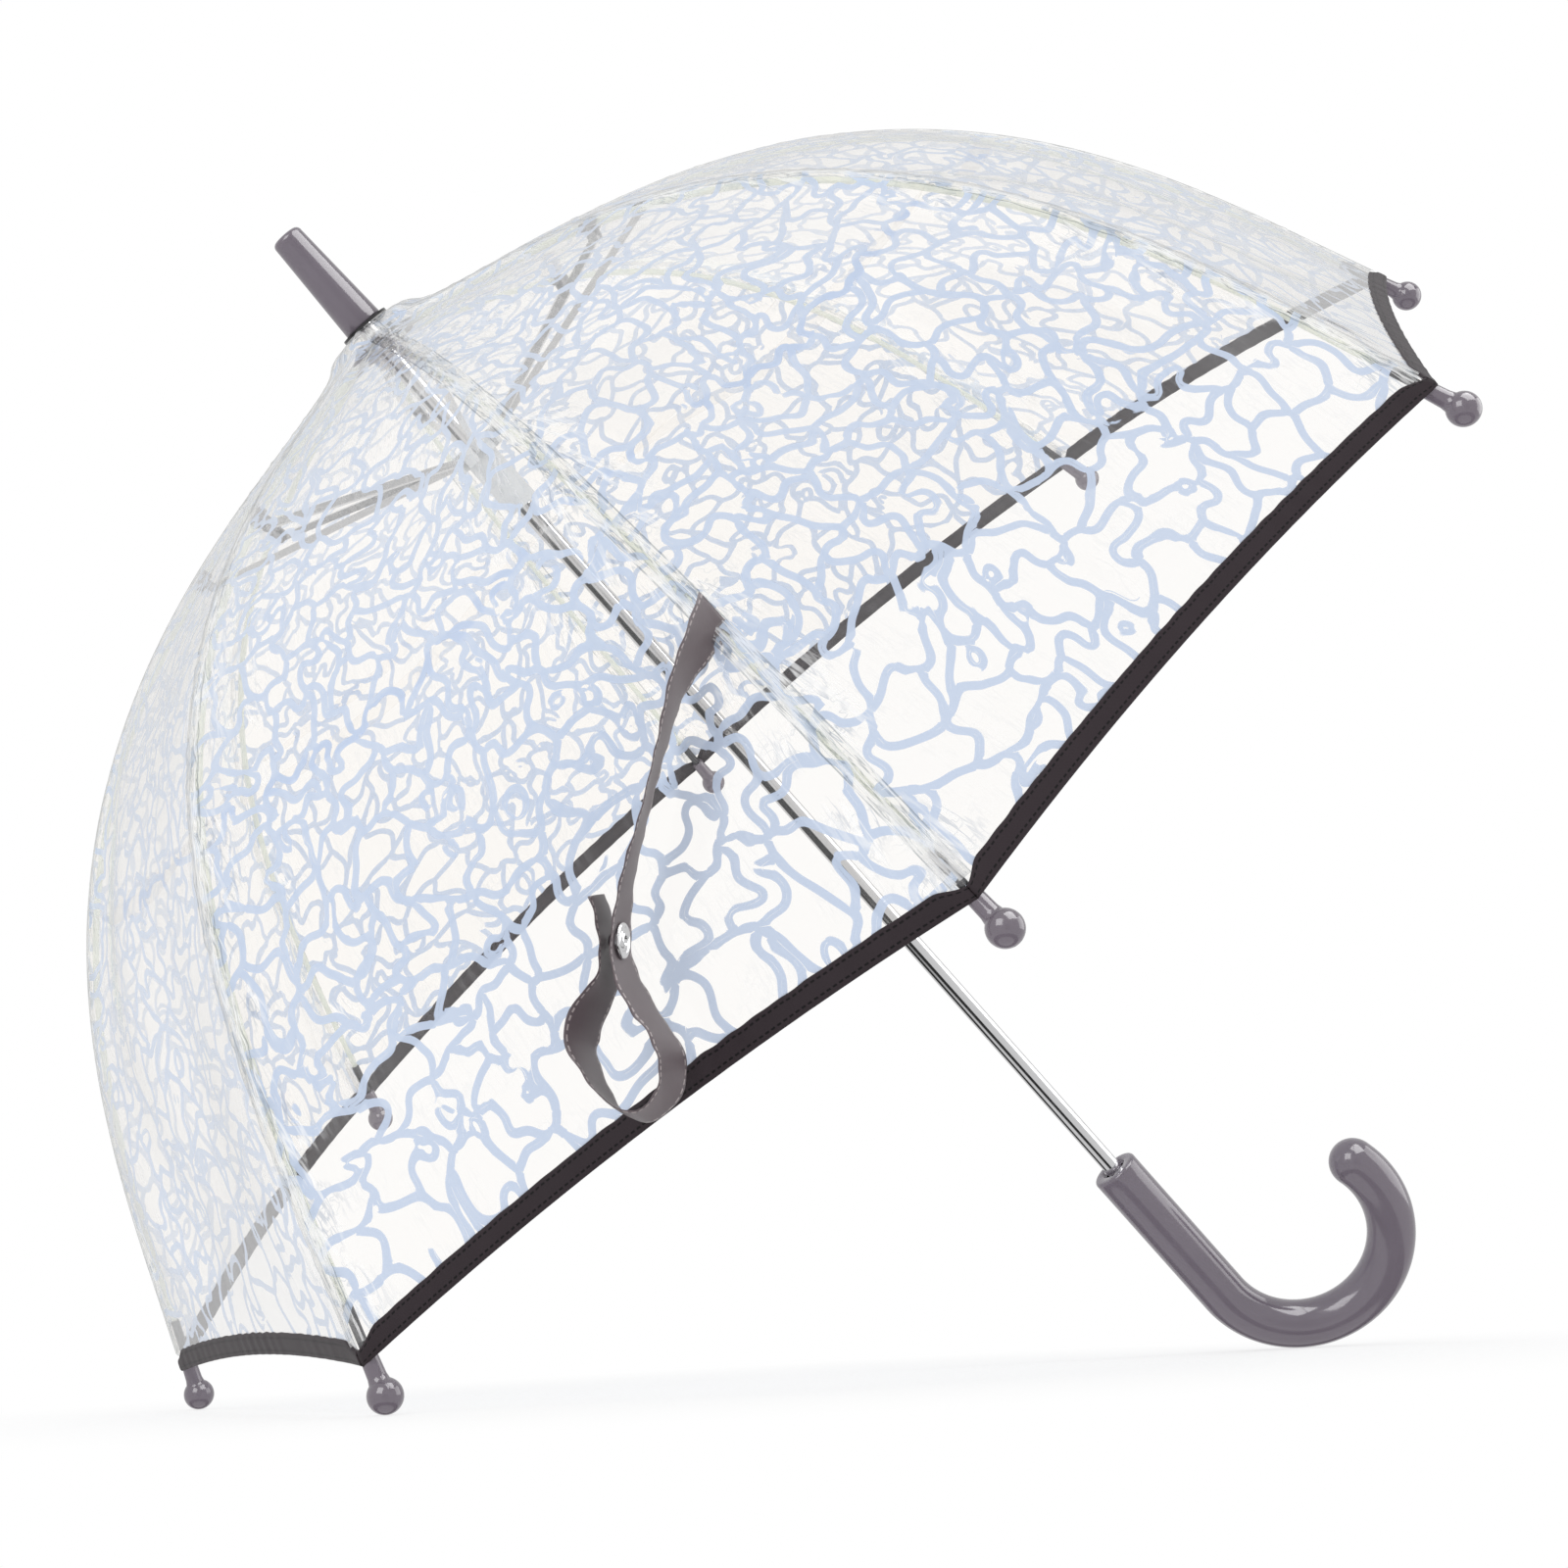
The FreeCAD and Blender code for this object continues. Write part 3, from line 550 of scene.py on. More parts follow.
def film_material():
    """Clear vinyl: see-through, glossy, creased, with a pale blue outline print."""
    material, tree = new_material("printed_film")
    place = flat_uv(tree)
    to_seam, run, _ = parts(flat_uv(tree, "place"))
    printed = print_mask(flat_uv(tree, "print"), CROWN_SHRINK - run / (HEM_RUN * MM) * (CROWN_SHRINK - 1.0))

    # Painted shade and painted reflection darken the crease lines, and painted white highlight glints lie among
    # them, mostly beside the seams and round the crown
    near_crown = ramp(run, 30.0 * MM, 230.0 * MM, 1.0, 0.0)
    painted_streak_zone = ramp(to_seam, 2.0 * MM, 30.0 * MM, 1.0, 0.0).apply("MAXIMUM", near_crown)
    patches = ramp(noise(place, 38.0), 0.42, 0.62)
    # Dark crumple and crease streaks: painted shade and painted reflection
    painted_crumple_shade = streaks(place, 60.0, 75.0, 0.022) * 0.6
    scratches_and_crease_shade = streaks(place, 150.0, 26.0, 0.035).apply("MAXIMUM", painted_crumple_shade)
    scratches_and_crease_shade = scratches_and_crease_shade * (patches * ramp(painted_streak_zone, 0.0, 1.0, 0.10, 0.75))
    # White streaks on the film: painted highlight glints
    painted_glints = streaks(mapped(place, offset=(0.3, 0.7, 0.0)), 120.0, 16.0, 0.05)
    painted_glints = painted_glints * (patches * ramp(painted_streak_zone, 0.0, 1.0, 0.05, 0.75))

    soft = noise(mapped(place, (95.0, 14.0, 1.0)), 1.0, 3.0, 0.55)
    normal = bump(soft + noise(place, 150.0, 3.0, 0.6) * 0.35, 0.35, 0.8 * MM)
    graze = grazing(normal)
    # On the crease lines the clear tint turns grey-blue: painted shade and painted reflection
    tint = mix_colours(scratches_and_crease_shade, (0.985, 0.970, 0.950), (0.50, 0.55, 0.63))
    clear = node(tree, "ShaderNodeBsdfTransparent", {"Color": tint})
    ink = node(tree, "ShaderNodeBsdfDiffuse", {"Color": (0.56, 0.66, 0.84, 1.0)})
    haze = node(tree, "ShaderNodeBsdfTranslucent", {"Color": (0.95, 0.95, 0.95, 1.0)})
    gloss = node(tree, "ShaderNodeBsdfGlossy", {"Color": WHITE, "Roughness": 0.07, "Normal": normal})
    film = mix_shaders(printed * 0.92, clear, ink)
    film = mix_shaders(ramp(graze, 0.0, 0.7, 0.03, 0.27), film, haze)
    film = mix_shaders(painted_glints, film, painted_glint_white(tree))
    return finished(material, mix_shaders(mirror_share(graze, 0.03, 0.85), film, gloss))


def seam_material():
    """Welded clear strip: two layers of film with pressed edges, more visible than one."""
    material, tree = new_material("welded_seam")
    place = flat_uv(tree)
    from_edge = abs(abs(parts(place)[0]) - PRESSED_EDGE * MM)
    edges = ramp(from_edge, 0.12 * MM, 0.35 * MM, 1.0, 0.0) * 0.75
    # Dark lines at the pressed edges, and dark streaks of painted shade and painted reflection
    dark = edges.apply("MAXIMUM", streaks(place, 330.0, 30.0, 0.03) * 0.7)
    # White streaks down the strip: painted highlight glints
    painted_glints = streaks(place, 210.0, 20.0, 0.07) * 0.85
    normal = bump(noise(mapped(place, (260.0, 45.0, 1.0)), 1.0, 4.0, 0.6), 0.6, 0.9 * MM)
    tint = mix_colours(dark, (0.99, 0.99, 0.975), (0.36, 0.40, 0.44))
    clear = node(tree, "ShaderNodeBsdfTransparent", {"Color": tint})
    haze = node(tree, "ShaderNodeBsdfTranslucent", {"Color": (0.97, 0.98, 0.97, 1.0)})
    gloss = node(tree, "ShaderNodeBsdfGlossy", {"Roughness": 0.06, "Normal": normal})
    strip = mix_shaders(painted_glints, mix_shaders(0.05, clear, haze), painted_glint_white(tree))
    return finished(material, mix_shaders(mirror_share(grazing(normal), 0.10, 0.9), strip, gloss))


def woven(name, colour, weave_mm, stitch_at, stitch_colour, roughness, gloss):
    """Woven cloth, with a line of stitches stitch_at millimetres each side of its middle."""
    material, tree = new_material(name)
    place = flat_uv(tree)
    across, along, _ = parts(place)
    turns = 2.0 * math.pi / (weave_mm * MM)
    weave = (across * turns).apply("SINE") * (along * turns).apply("SINE")
    height = weave * 0.5 + noise(place, 700.0, 3.0)
    on_line = ramp(abs(abs(across) - stitch_at * MM), 0.25 * MM, 0.45 * MM, 1.0, 0.0)
    dashes = (along * (2.0 * math.pi / (STITCH_LENGTH * MM))).apply("SINE")
    stitches = on_line * ramp(dashes, -0.5, -0.2)
    cloth = mix_colours(noise(place, 45.0), [c * 0.85 for c in colour], [c * 1.15 for c in colour])
    return finished(material, node(tree, "ShaderNodeBsdfPrincipled", {
        "Base Color": mix_colours(stitches, cloth, stitch_colour),
        "Roughness": roughness,
        "Specular IOR Level": gloss,
        "Sheen Weight": 0.08,
        "Sheen Roughness": 0.4,
        "Normal": bump(height + stitches * 2.0, 0.6, 0.08 * MM),
    }))


PLASTIC = glossy_plastic("mauve_plastic", (0.170, 0.145, 0.176), 0.16)
BLACK = glossy_plastic("black_plastic", (0.012, 0.012, 0.013), 0.4)
PALE = glossy_plastic("runner_plastic", (0.72, 0.74, 0.75), 0.3)
CHROME = metal("chrome", (0.86, 0.86, 0.87), 0.06)
STEEL = metal("steel", (0.45, 0.45, 0.47), 0.25, 0.2)
BRIGHT_STEEL = metal("bright_steel", (0.92, 0.92, 0.93), 0.16, 0.1)
DARK_STEEL = metal("dark_steel", (0.16, 0.16, 0.17), 0.3, 0.1)
GLASS_FIBRE = fibreglass()
FILM = film_material()
SEAM = seam_material()
HEM = woven("hem_tape", (0.032, 0.022, 0.027), 0.7, 2.6, (0.004, 0.003, 0.004), 0.5, 0.3)
RIBBON = woven("strap_ribbon", (0.100, 0.072, 0.082), 0.5, 8.7, (0.42, 0.36, 0.36), 0.34, 0.8)


# ------------------------------------------------------------------- canopy

BROAD = waves(11, 9, 0.010, 0.030)
PLEATS = waves(12, 7, 0.25, 0.60)
PUCKERS = waves(13, 9, 0.35, 0.75)


def half_width(run):
    """From the middle of a panel to its rib, across the film."""
    return film_ridge(run)[0] * math.sin(HALF_PITCH)


def film_lift(number, across, run, to_rib):
    """Creases of the film off its taut shape, in millimetres."""
    x = across + WAVE_STEP * number
    free = 1.0 - np.exp(-to_rib / FREE_REACH)
    near_rib = np.exp(-to_rib / PUCKER_REACH) * (1.0 - np.exp(-to_rib / PUCKER_START))
    lift = BROAD_HEIGHT * BROAD(2.4 * x, run) * free
    lift = lift + PLEAT_HEIGHT * PLEATS(x, 0.05 * run) * np.exp(-run / PLEAT_REACH) * free
    lift = lift + PUCKER_HEIGHT * PUCKERS(0.2 * x, run) * near_rib
    end = HEM_RUN - HEM_SAG - HEM_WIDTH - HEM_CLEARANCE
    return lift * np.clip((end - run) / HEM_FADE, 0.0, 1.0)


def film_band(number, name, start, end, rows, lift_by=0.0):
    """One clear band of a panel; start and end are running lengths as functions of u."""
    columns = 81
    u = np.linspace(-1.0, 1.0, columns)[None, :]
    v = np.linspace(0.0, 1.0, rows)[:, None]
    run = start(u) + (end(u) - start(u)) * v
    across, to_rib = u * half_width(run), (1.0 - np.abs(u)) * half_width(run)
    points = film_points(number, u, run, film_lift(number, across, run, to_rib) + lift_by)
    uv = np.stack([across * MM + CREASE_STEP[0] * number, run * MM + CREASE_STEP[1] * number], -1)
    place = np.stack([to_rib, run], -1) * MM
    shrink = CROWN_SHRINK - (CROWN_SHRINK - 1.0) * run / HEM_RUN
    shrunk_run = CROWN_SHRINK * run - (CROWN_SHRINK - 1.0) * run**2 / (2.0 * HEM_RUN)
    printed = [across * shrink * MM + PRINT_STEP[0] * number, shrunk_run * MM + PRINT_STEP[1] * number]
    maps = {"place": place, "print": np.stack(printed, -1)}
    thing = piece(name, to_row(points), grid_faces(rows, columns), FILM, uv, **maps)
    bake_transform(thing)
    return thing


def hem_run(u):
    """Running length of the hem's outer edge."""
    return HEM_RUN - HEM_SAG * (1.0 - np.asarray(u) ** 2)


def flex_run(u):
    """Where the upper film hands over to the lower film."""
    return FLEX_RUN + FLEX_BULGE * (1.0 - np.asarray(u) ** 2)


def ripple(seed, along, slowest, quickest, count):
    """Small irregular waves along a seam or tape, up to 1 high."""
    rng = np.random.default_rng(seed)
    rates, phases = rng.uniform(slowest, quickest, count), rng.uniform(0, 6.28, count)
    return sum(np.sin(along * k + p) for k, p in zip(rates, phases)) / count


def hem_tape(number):
    """Folded tape round the free edge, gathered at the rib tips."""
    count, ring = 161, 24
    u = np.linspace(-1.0, 1.0, count)
    angle = np.linspace(0.0, 2.0 * math.pi, ring, endpoint=False)
    half_w, half_t = HEM_WIDTH / 2.0, HEM_THICKNESS / 2.0
    # A rectangle with round edges, pinched narrower and thicker at both ends
    outline_w = np.sign(np.cos(angle)) * np.abs(np.cos(angle)) ** 0.55 * half_w
    outline_t = np.sign(np.sin(angle)) * np.abs(np.sin(angle)) ** 0.75 * half_t
    end = np.clip((1.0 - np.abs(u)) * HALF_HEM / HEM_GATHER, 0.0, 1.0)
    pinch = 0.62 + 0.38 * end * end * (3.0 - 2.0 * end)
    wave = ripple(40 + number, u, 30, 90, 5)
    run = hem_run(u)[:, None] - half_w * pinch[:, None] + outline_w[None] * pinch[:, None]
    run = run + np.where(outline_w < 0, 0.35 * wave[:, None], 0.0)
    lift = outline_t[None] * (1.0 + 0.5 * (1.0 - end[:, None])) - 0.2 + 0.2 * wave[:, None]
    points = film_points(number, u[:, None], run, lift)
    uv = np.stack(np.broadcast_arrays(outline_w[None] * MM, (u * HALF_HEM)[:, None] * MM), -1)
    faces = grid_faces(count, ring, wrap=True) + closed_ends(count, ring)
    thing = piece(f"hem_tape_{number}", to_row(points), faces, HEM, uv)
    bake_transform(thing)
    return thing


def seam_strip(number):
    """Welded clear strip that runs over a rib from crown to hem."""
    run = np.linspace(4.0, HEM_RUN - HEM_WIDTH + 1.0, 240)
    side = np.array([-d for d in SEAM_HALF_WIDTHS[:0:-1]] + SEAM_HALF_WIDTHS)
    x, z = film_ridge(run)
    sx, sz = np.gradient(x, run), np.gradient(z, run)
    wave = ripple(90 + number, run, 0.3, 0.9, 6)
    flare = np.minimum(1.0, x / SEAM_FULL_RADIUS)
    drop = np.tan(HALF_PITCH) * np.abs(side)[None] * np.abs(sz)[:, None] * 0.92
    lift = 0.55 - drop + 0.5 * wave[:, None] * (np.abs(side)[None] > 1.0)
    out = np.stack([-sz, sx], -1)
    out /= np.linalg.norm(out, axis=1, keepdims=True)
    px = x[:, None] + out[:, :1] * lift
    pz = z[:, None] + out[:, 1:] * lift
    ps = side[None] * flare[:, None]
    points = turned(px, ps, pz, rib_azimuth(number))
    uv = np.stack([ps * MM, np.broadcast_to(run[:, None], ps.shape) * MM + 0.31 * number], -1)
    thing = piece(f"seam_strip_{number}", to_row(points), grid_faces(len(run), len(side)), SEAM, uv)
    bend_at_flex(thing, number)
    return thing


def bend_at_flex(thing, number):
    """Bakes a piece that runs along the whole rib into its points; the ends of the rib's flex span are worked out
    but not used.
    """
    start, end = (to_row(rib_point(number, np.array([FLEX_ARC + d]))[0]) for d in (-FLEX_HALF_SPAN, FLEX_HALF_SPAN))
    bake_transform(thing)


def rib_rod(number):
    """Fibreglass rod from the crown to the tip."""
    arcs = np.linspace(2.0, RIB_LENGTH - 3.0, 160)
    sides = 12
    points, faces = tube(rib_point(number, arcs), ROD_RADIUS, sides)
    uv = np.stack([np.tile(np.linspace(0.0, 0.009, sides), len(arcs)), np.repeat(arcs * MM, sides)], -1)
    thing = piece(f"rib_rod_{number}", to_row(points), faces, GLASS_FIBRE, uv)
    bend_at_flex(thing, number)
    return thing


def rib_fittings(number):
    """Crown eye and stretcher saddle on the inner rib."""
    a = rib_azimuth(number)
    side = np.array([-math.sin(a), math.cos(a), 0.0])
    eye_centre = rib_point(number, np.array([0.0]))[0]
    eye_profile = [(0.8, -1.4), (1.8, -1.4), (2.0, -1.2), (2.0, 1.2), (1.8, 1.4), (0.8, 1.4)]
    eye = lathe(eye_profile, eye_centre, side, 32)
    sleeve_arcs = np.array([2.0, 2.4, 12.6, 13.0])
    sleeve = tube(rib_point(number, sleeve_arcs), [1.45, 1.7, 1.7, 1.45], 20)
    grip_arcs = STRETCHER_ARC + np.array([-4.5, -4.1, -1.5, 1.5, 4.1, 4.5])
    grip = tube(rib_point(number, grip_arcs), [1.7, 2.15, 2.2, 2.2, 2.15, 1.7], 20)
    ears = []
    slope = float(rib_slope(STRETCHER_ARC))
    along = np.array([math.cos(slope) * math.cos(a), math.cos(slope) * math.sin(a), -math.sin(slope)])
    pivot = rib_point(number, np.array([STRETCHER_ARC]), -STRETCHER_DROP)[0]
    top = rib_point(number, np.array([STRETCHER_ARC]))[0]
    angle = np.radians(np.linspace(180.0, 360.0, 13))
    down = (pivot - top) / np.linalg.norm(pivot - top)
    rim = [pivot + SADDLE_RADIUS * (np.cos(t) * along - np.sin(t) * down) for t in angle]
    rim += [top + SADDLE_RADIUS * along, top - SADDLE_RADIUS * along]
    count = len(rim)
    for shift in (-EAR_OFFSET, EAR_OFFSET):
        layers = [np.array(rim) + side * (shift + d) for d in (-EAR_HALF_THICKNESS, EAR_HALF_THICKNESS)]
        ears.append((np.vstack(layers), closed_ends(2, count) + grid_faces(2, count, wrap=True)))
    points, faces = join_parts([eye, sleeve, grip, *ears])
    thing = piece(f"rib_fittings_{number}", to_row(points), faces, STEEL)
    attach(thing, f"rib_{number}_upper")
    return thing


def rib_end(number):
    """Ball tip with its stem, and the crimped metal end of the rod."""
    tip = rib_point(number, np.array([RIB_LENGTH]))[0]
    back = rib_point(number, np.array([RIB_LENGTH - STEM_LENGTH]))[0] - tip
    axis = -back / np.linalg.norm(back)
    base = tip + back
    profile = [(1.6, 0.0), (2.9, 0.0), (3.15, 0.25), (3.25, 0.9), (3.35, 5.0)]
    profile.append((STEM_RADIUS, STEM_LENGTH - 7.2))
    meet = math.degrees(math.asin(STEM_RADIUS * 1.12 / BALL_RADIUS))
    profile += [(r, a + STEM_LENGTH) for r, a in arc_profile(BALL_RADIUS, 180.0 - meet, 0.2, 28)]
    points, faces = lathe(profile, base, axis, 48)
    ball = piece(f"tip_{number}", to_row(points), faces, PLASTIC)
    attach(ball, f"rib_{number}_lower")
    arcs = RIB_LENGTH - STEM_LENGTH + np.array([-17.0, -16.5, -2.0, 0.5])
    points, faces = tube(rib_point(number, arcs), [1.5, 1.85, 1.85, 1.85], 20)
    crimp = piece(f"rod_crimp_{number}", to_row(points), faces, DARK_STEEL)
    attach(crimp, f"rib_{number}_lower")
    return ball, crimp


def rib_and_panel(number):
    """One eighth of the canopy: a rib with its fittings, and the film and hem beside it."""
    upper = film_band(number, f"film_upper_{number}", lambda u: 0.0 * u, flex_run, 130)
    lower = film_band(
        number, f"film_lower_{number}",
        lambda u: flex_run(u) - BAND_OVERLAP * (1.0 - u**2), lambda u: hem_run(u) - HEM_FOLD,
        100, lift_by=-0.4,
    )
    tape = hem_tape(number)
    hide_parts(f"panel_{number}")
    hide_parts(f"hem_{number}")
    strip = seam_strip(number)
    rod = rib_rod(number)
    fittings = rib_fittings(number)
    ball, crimp = rib_end(number)
    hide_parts(f"rib_{number}_upper", f"rib_{number}_lower")
    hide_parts(f"rib_{number}_tip")
    for thing in (upper, lower, strip):
        thing.visible_shadow = thing.visible_glossy = False
    dress(f"stretcher_{number}", BRIGHT_STEEL, 0.25)


for number in range(1, RIB_COUNT + 1):
    rib_and_panel(number)


# ----------------------------------------------------------- shaft and crown

def shaft():
    """Chrome tube with the two catch slots, and its dark inside."""
    cuts = []
    for low, high in (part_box(f"{name}_catch") for name in ("top", "bottom")):
        middle = (np.array(low) + np.array(high)) / 2.0
        height = float((middle - CROWN) @ np.array(UP)) / MM
        cuts += [height - CATCH_SLOT_HALF_LENGTH, height + CATCH_SLOT_HALF_LENGTH]
    bottom = HANDLE_TOP - SHAFT_IN_HANDLE
    rows = np.array([bottom, *sorted(cuts), SHAFT_TOP])
    half = math.degrees(math.asin(CATCH_SLOT_HALF_WIDTH / SHAFT_RADIUS))
    angles = np.radians(np.concatenate([[-half, half], np.linspace(half, 360.0 - half, 61)[1:-1]]) - 90.0)
    ring = np.stack([np.cos(angles), np.sin(angles)], -1)
    points = [[x * SHAFT_RADIUS, y * SHAFT_RADIUS, z] for z in rows for x, y in ring]
    # Each slot is the first face of its row of faces: the second row and the fourth
    slots = [row * len(ring) for row in (1, 3)]
    faces = [face for face in grid_faces(len(rows), len(ring), wrap=True) if face[0] not in slots]
    outer = piece("shaft_chrome", to_row(points), faces, CHROME)
    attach(outer, "shaft")
    bore_profile = [(SHAFT_BORE, bottom), (SHAFT_BORE, SHAFT_TOP)]
    inner_points, inner_faces = lathe(bore_profile, ORIGIN, UPWARD, 40)
    inner = piece("shaft_bore", to_row(inner_points), inner_faces, DARK_STEEL)
    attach(inner, "shaft")
    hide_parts("shaft_tube")


def ferrule():
    """Tapered cap with a rounded, slightly dished tip."""
    end = FERRULE_LENGTH
    profile = [(4.2, 0.0), (8.6, 0.0), (8.95, 0.35), (9.0, 0.9), (8.86, 4.0), (7.06, end - 3.2)]
    profile += arc_profile(2.4, 90.0, 8.0, 9, (4.65, end - 2.6))
    profile += [(4.3, end - 0.35), (4.0, end - 0.45), (0.1, end - 0.45)]
    points, faces = lathe(profile, FERRULE_BOTTOM * UPWARD, UPWARD, 64)
    thing = piece("ferrule_cap", to_row(points), faces, PLASTIC)
    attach(thing, "shaft")
    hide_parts("ferrule")


def handle():
    """Grip and crook as one smooth moulded rod, recessed round the shaft."""
    bend = math.radians(CROOK_AZIMUTH)
    toward = np.array([math.cos(bend), math.sin(bend), 0.0])
    grip_end = HANDLE_TOP - HANDLE_STRAIGHT
    centre = toward * CROOK_RADIUS + grip_end * UPWARD
    straight = [z * UPWARD for z in np.linspace(HANDLE_TOP, grip_end, 24)[:-1]]
    sweep = np.radians(np.linspace(0.0, CROOK_SWEEP, 90))
    crook = [centre - CROOK_RADIUS * (np.cos(t) * toward + np.sin(t) * UPWARD) for t in sweep]
    end_direction = math.sin(sweep[-1]) * toward - math.cos(sweep[-1]) * UPWARD
    cap_angles = np.radians(np.linspace(0.0, 88.0, 14)[1:])
    cap = [crook[-1] + end_direction * HANDLE_RADIUS * math.sin(t) for t in cap_angles]
    # The rod's first two rings give way to the recess round the shaft and a rounded rim
    rod = (straight + crook)[2:]
    rim, rounding = [0.0, 0.1, 0.4, 0.9, 1.5], 1.5
    recess = [(5.0, -1.6), (5.4, -1.6), (5.9, -1.2), (6.0, -0.2), (6.3, 0.0)]
    recess_path = [(HANDLE_TOP + along) * UPWARD for _, along in recess]
    path = np.array(recess_path + [(HANDLE_TOP - d) * UPWARD for d in rim] + rod + cap)
    radii = [radius for radius, _ in recess]
    radii += [HANDLE_RADIUS - rounding + math.sqrt(rounding**2 - (rounding - d) ** 2) for d in rim]
    radii += [HANDLE_RADIUS] * len(rod) + [HANDLE_RADIUS * math.cos(t) for t in cap_angles]
    segments = 64
    angle = np.linspace(0.0, 2.0 * math.pi, segments, endpoint=False)
    normal = np.cross(toward, UPWARD)
    tangent = np.gradient(path, axis=0)
    tangent[: len(recess) + len(rim) + 1] = -UPWARD
    tangent[-len(cap) - 2:] = end_direction
    tangent /= np.linalg.norm(tangent, axis=1, keepdims=True)
    other = np.cross(tangent, normal)
    ring = np.cos(angle)[None, :, None] * normal + np.sin(angle)[None, :, None] * other[:, None]
    points = path[:, None] + ring * np.array(radii)[:, None, None]
    faces = grid_faces(len(path), segments, wrap=True)
    last = (len(path) - 1) * segments
    faces.append(tuple(range(last, last + segments)))
    thing = piece("handle_moulding", to_row(points), faces, PLASTIC)
    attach(thing, "shaft")
    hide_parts("crook_handle")


shaft()
ferrule()
handle()
for fitting, material, width in (
    ("crown_washer", BLACK, 0.3), ("crown_notch", PALE, 0.3), ("crown_wire", STEEL, 0.0),
    ("runner", PALE, 0.5), ("stop_pin", STEEL, 0.2),
    ("top_catch", STEEL, 0.15), ("bottom_catch", STEEL, 0.15),
):
    dress(fitting, material, width)


# -------------------------------------------------------------------- strap

STRAP_WIDTH, STRAP_THICKNESS = 20.0, 0.6
STRAP_ROOT = np.array(JOINTS["strap_hang"]["pos_m"]) / MM
STRAP_SIDE = np.array([0.902, -0.432, 0.0])
STRAP_DOWN = np.array([0.0, 0.0, -1.0])
STRAP_TOWARD = np.array([-0.432, -0.902, 0.0])
SNAP_DROP = 103.0

# Middle of the ribbon from its stitched edge to its free end, then the way its width points:
# sideways, down and away from the film, in millimetres from the root and as a direction.
STRAP_STATIONS = [
    ((2, -3, 0), (-0.56, -0.38, 0.73)),
    ((-4, 8, 3), (-0.40, -0.18, 0.88)),
    ((-12, 23, 4), (-0.19, -0.05, 0.97)),
    ((-18, 42, 2), (-0.08, 0.0, 1.0)),
    ((-24, 62, 0), (-0.04, 0.0, 1.0)),
    ((-30, 80, -3), (-0.12, 0.0, 1.0)),
    ((-33, 95, -5), (-0.22, 0.0, 1.0)),
    ((-34, 106, -6), (-0.30, 0.0, 1.0)),
    ((-32, 116, -6), (-0.42, -0.1, 0.9)),
    ((-27, 126, -7), (-0.52, -0.25, 0.8)),
    ((-21, 136, -7), (-0.52, -0.33, 0.78)),
    ((-19, 145, -7), (-0.38, -0.24, 0.89)),
    ((-22, 154, -7), (-0.26, -0.15, 0.95)),
    ((-30, 159, -7), (-0.20, -0.11, 0.97)),
    ((-38, 155, -7), (-0.26, -0.15, 0.95)),
    ((-44, 146, -7), (-0.38, -0.22, 0.90)),
    ((-48, 135, -7), (-0.46, -0.25, 0.85)),
    ((-45, 125, -7), (-0.42, -0.2, 0.88)),
    ((-39, 116, -6), (-0.28, -0.1, 0.95)),
    ((-38, 106, -6), (-0.24, 0.0, 1.0)),
    ((-39, 96, -5), (-0.24, 0.0, 1.0)),
    ((-41, 88, -4), (-0.24, 0.0, 1.0)),
]


def strap_lines():
    """Middle line, width direction and face direction of the ribbon, in row millimetres."""
    axes = np.array([STRAP_SIDE, STRAP_DOWN, STRAP_TOWARD])
    path = STRAP_ROOT + smooth_curve([place for place, _ in STRAP_STATIONS], 10) @ axes
    width = smooth_curve([direction for _, direction in STRAP_STATIONS], 10) @ axes
    tangent = np.gradient(path, axis=0)
    tangent /= np.linalg.norm(tangent, axis=1, keepdims=True)
    width -= tangent * np.sum(width * tangent, axis=1, keepdims=True)
    width /= np.linalg.norm(width, axis=1, keepdims=True)
    return path, width, np.cross(tangent, width)


def strap():
    """Satin ribbon: sewn to the seam, hanging, looped back and held to itself by its snap."""
    path, width, face = strap_lines()
    across = np.linspace(-1.0, 1.0, 15)
    length = np.concatenate([[0.0], np.cumsum(np.linalg.norm(np.diff(path, axis=0), axis=1))])
    cup = 0.7 * (1.0 - across**2)[None] * np.sin(length / 8.0)[:, None]
    edge = 0.25 * np.abs(across[None]) ** 6 * np.sin(length / 1.7 + 2.0)[:, None]
    half_w, half_t = STRAP_WIDTH / 2.0, STRAP_THICKNESS / 2.0
    centre = path[:, None] + width[:, None] * across[None, :, None] * half_w
    rounding = np.sqrt(1.0 - 0.9 * across**12)[None, :, None]
    lift = (cup + edge)[..., None]
    layers = [centre + face[:, None] * (lift + side * half_t * rounding) for side in (1.0, -1.0)]
    uv = np.stack(np.broadcast_arrays(across[None] * half_w * MM, length[:, None] * MM), -1)
    rows, columns = len(path), len(across)
    count = rows * columns
    faces = grid_faces(rows, columns)
    faces += [tuple(index + count for index in face)[::-1] for face in grid_faces(rows, columns)]
    rim = list(range(columns)) + [columns * r + columns - 1 for r in range(1, rows)]
    rim += [count - 1 - c for c in range(1, columns)] + [columns * r for r in range(rows - 2, 0, -1)]
    faces += [(after, here, here + count, after + count) for here, after in zip(rim, rim[1:] + rim[:1])]
    thing = piece("strap_ribbon", np.stack(layers) * MM, faces, RIBBON, np.stack([uv, uv]))
    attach(thing, "strap")
    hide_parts("closure_strap")


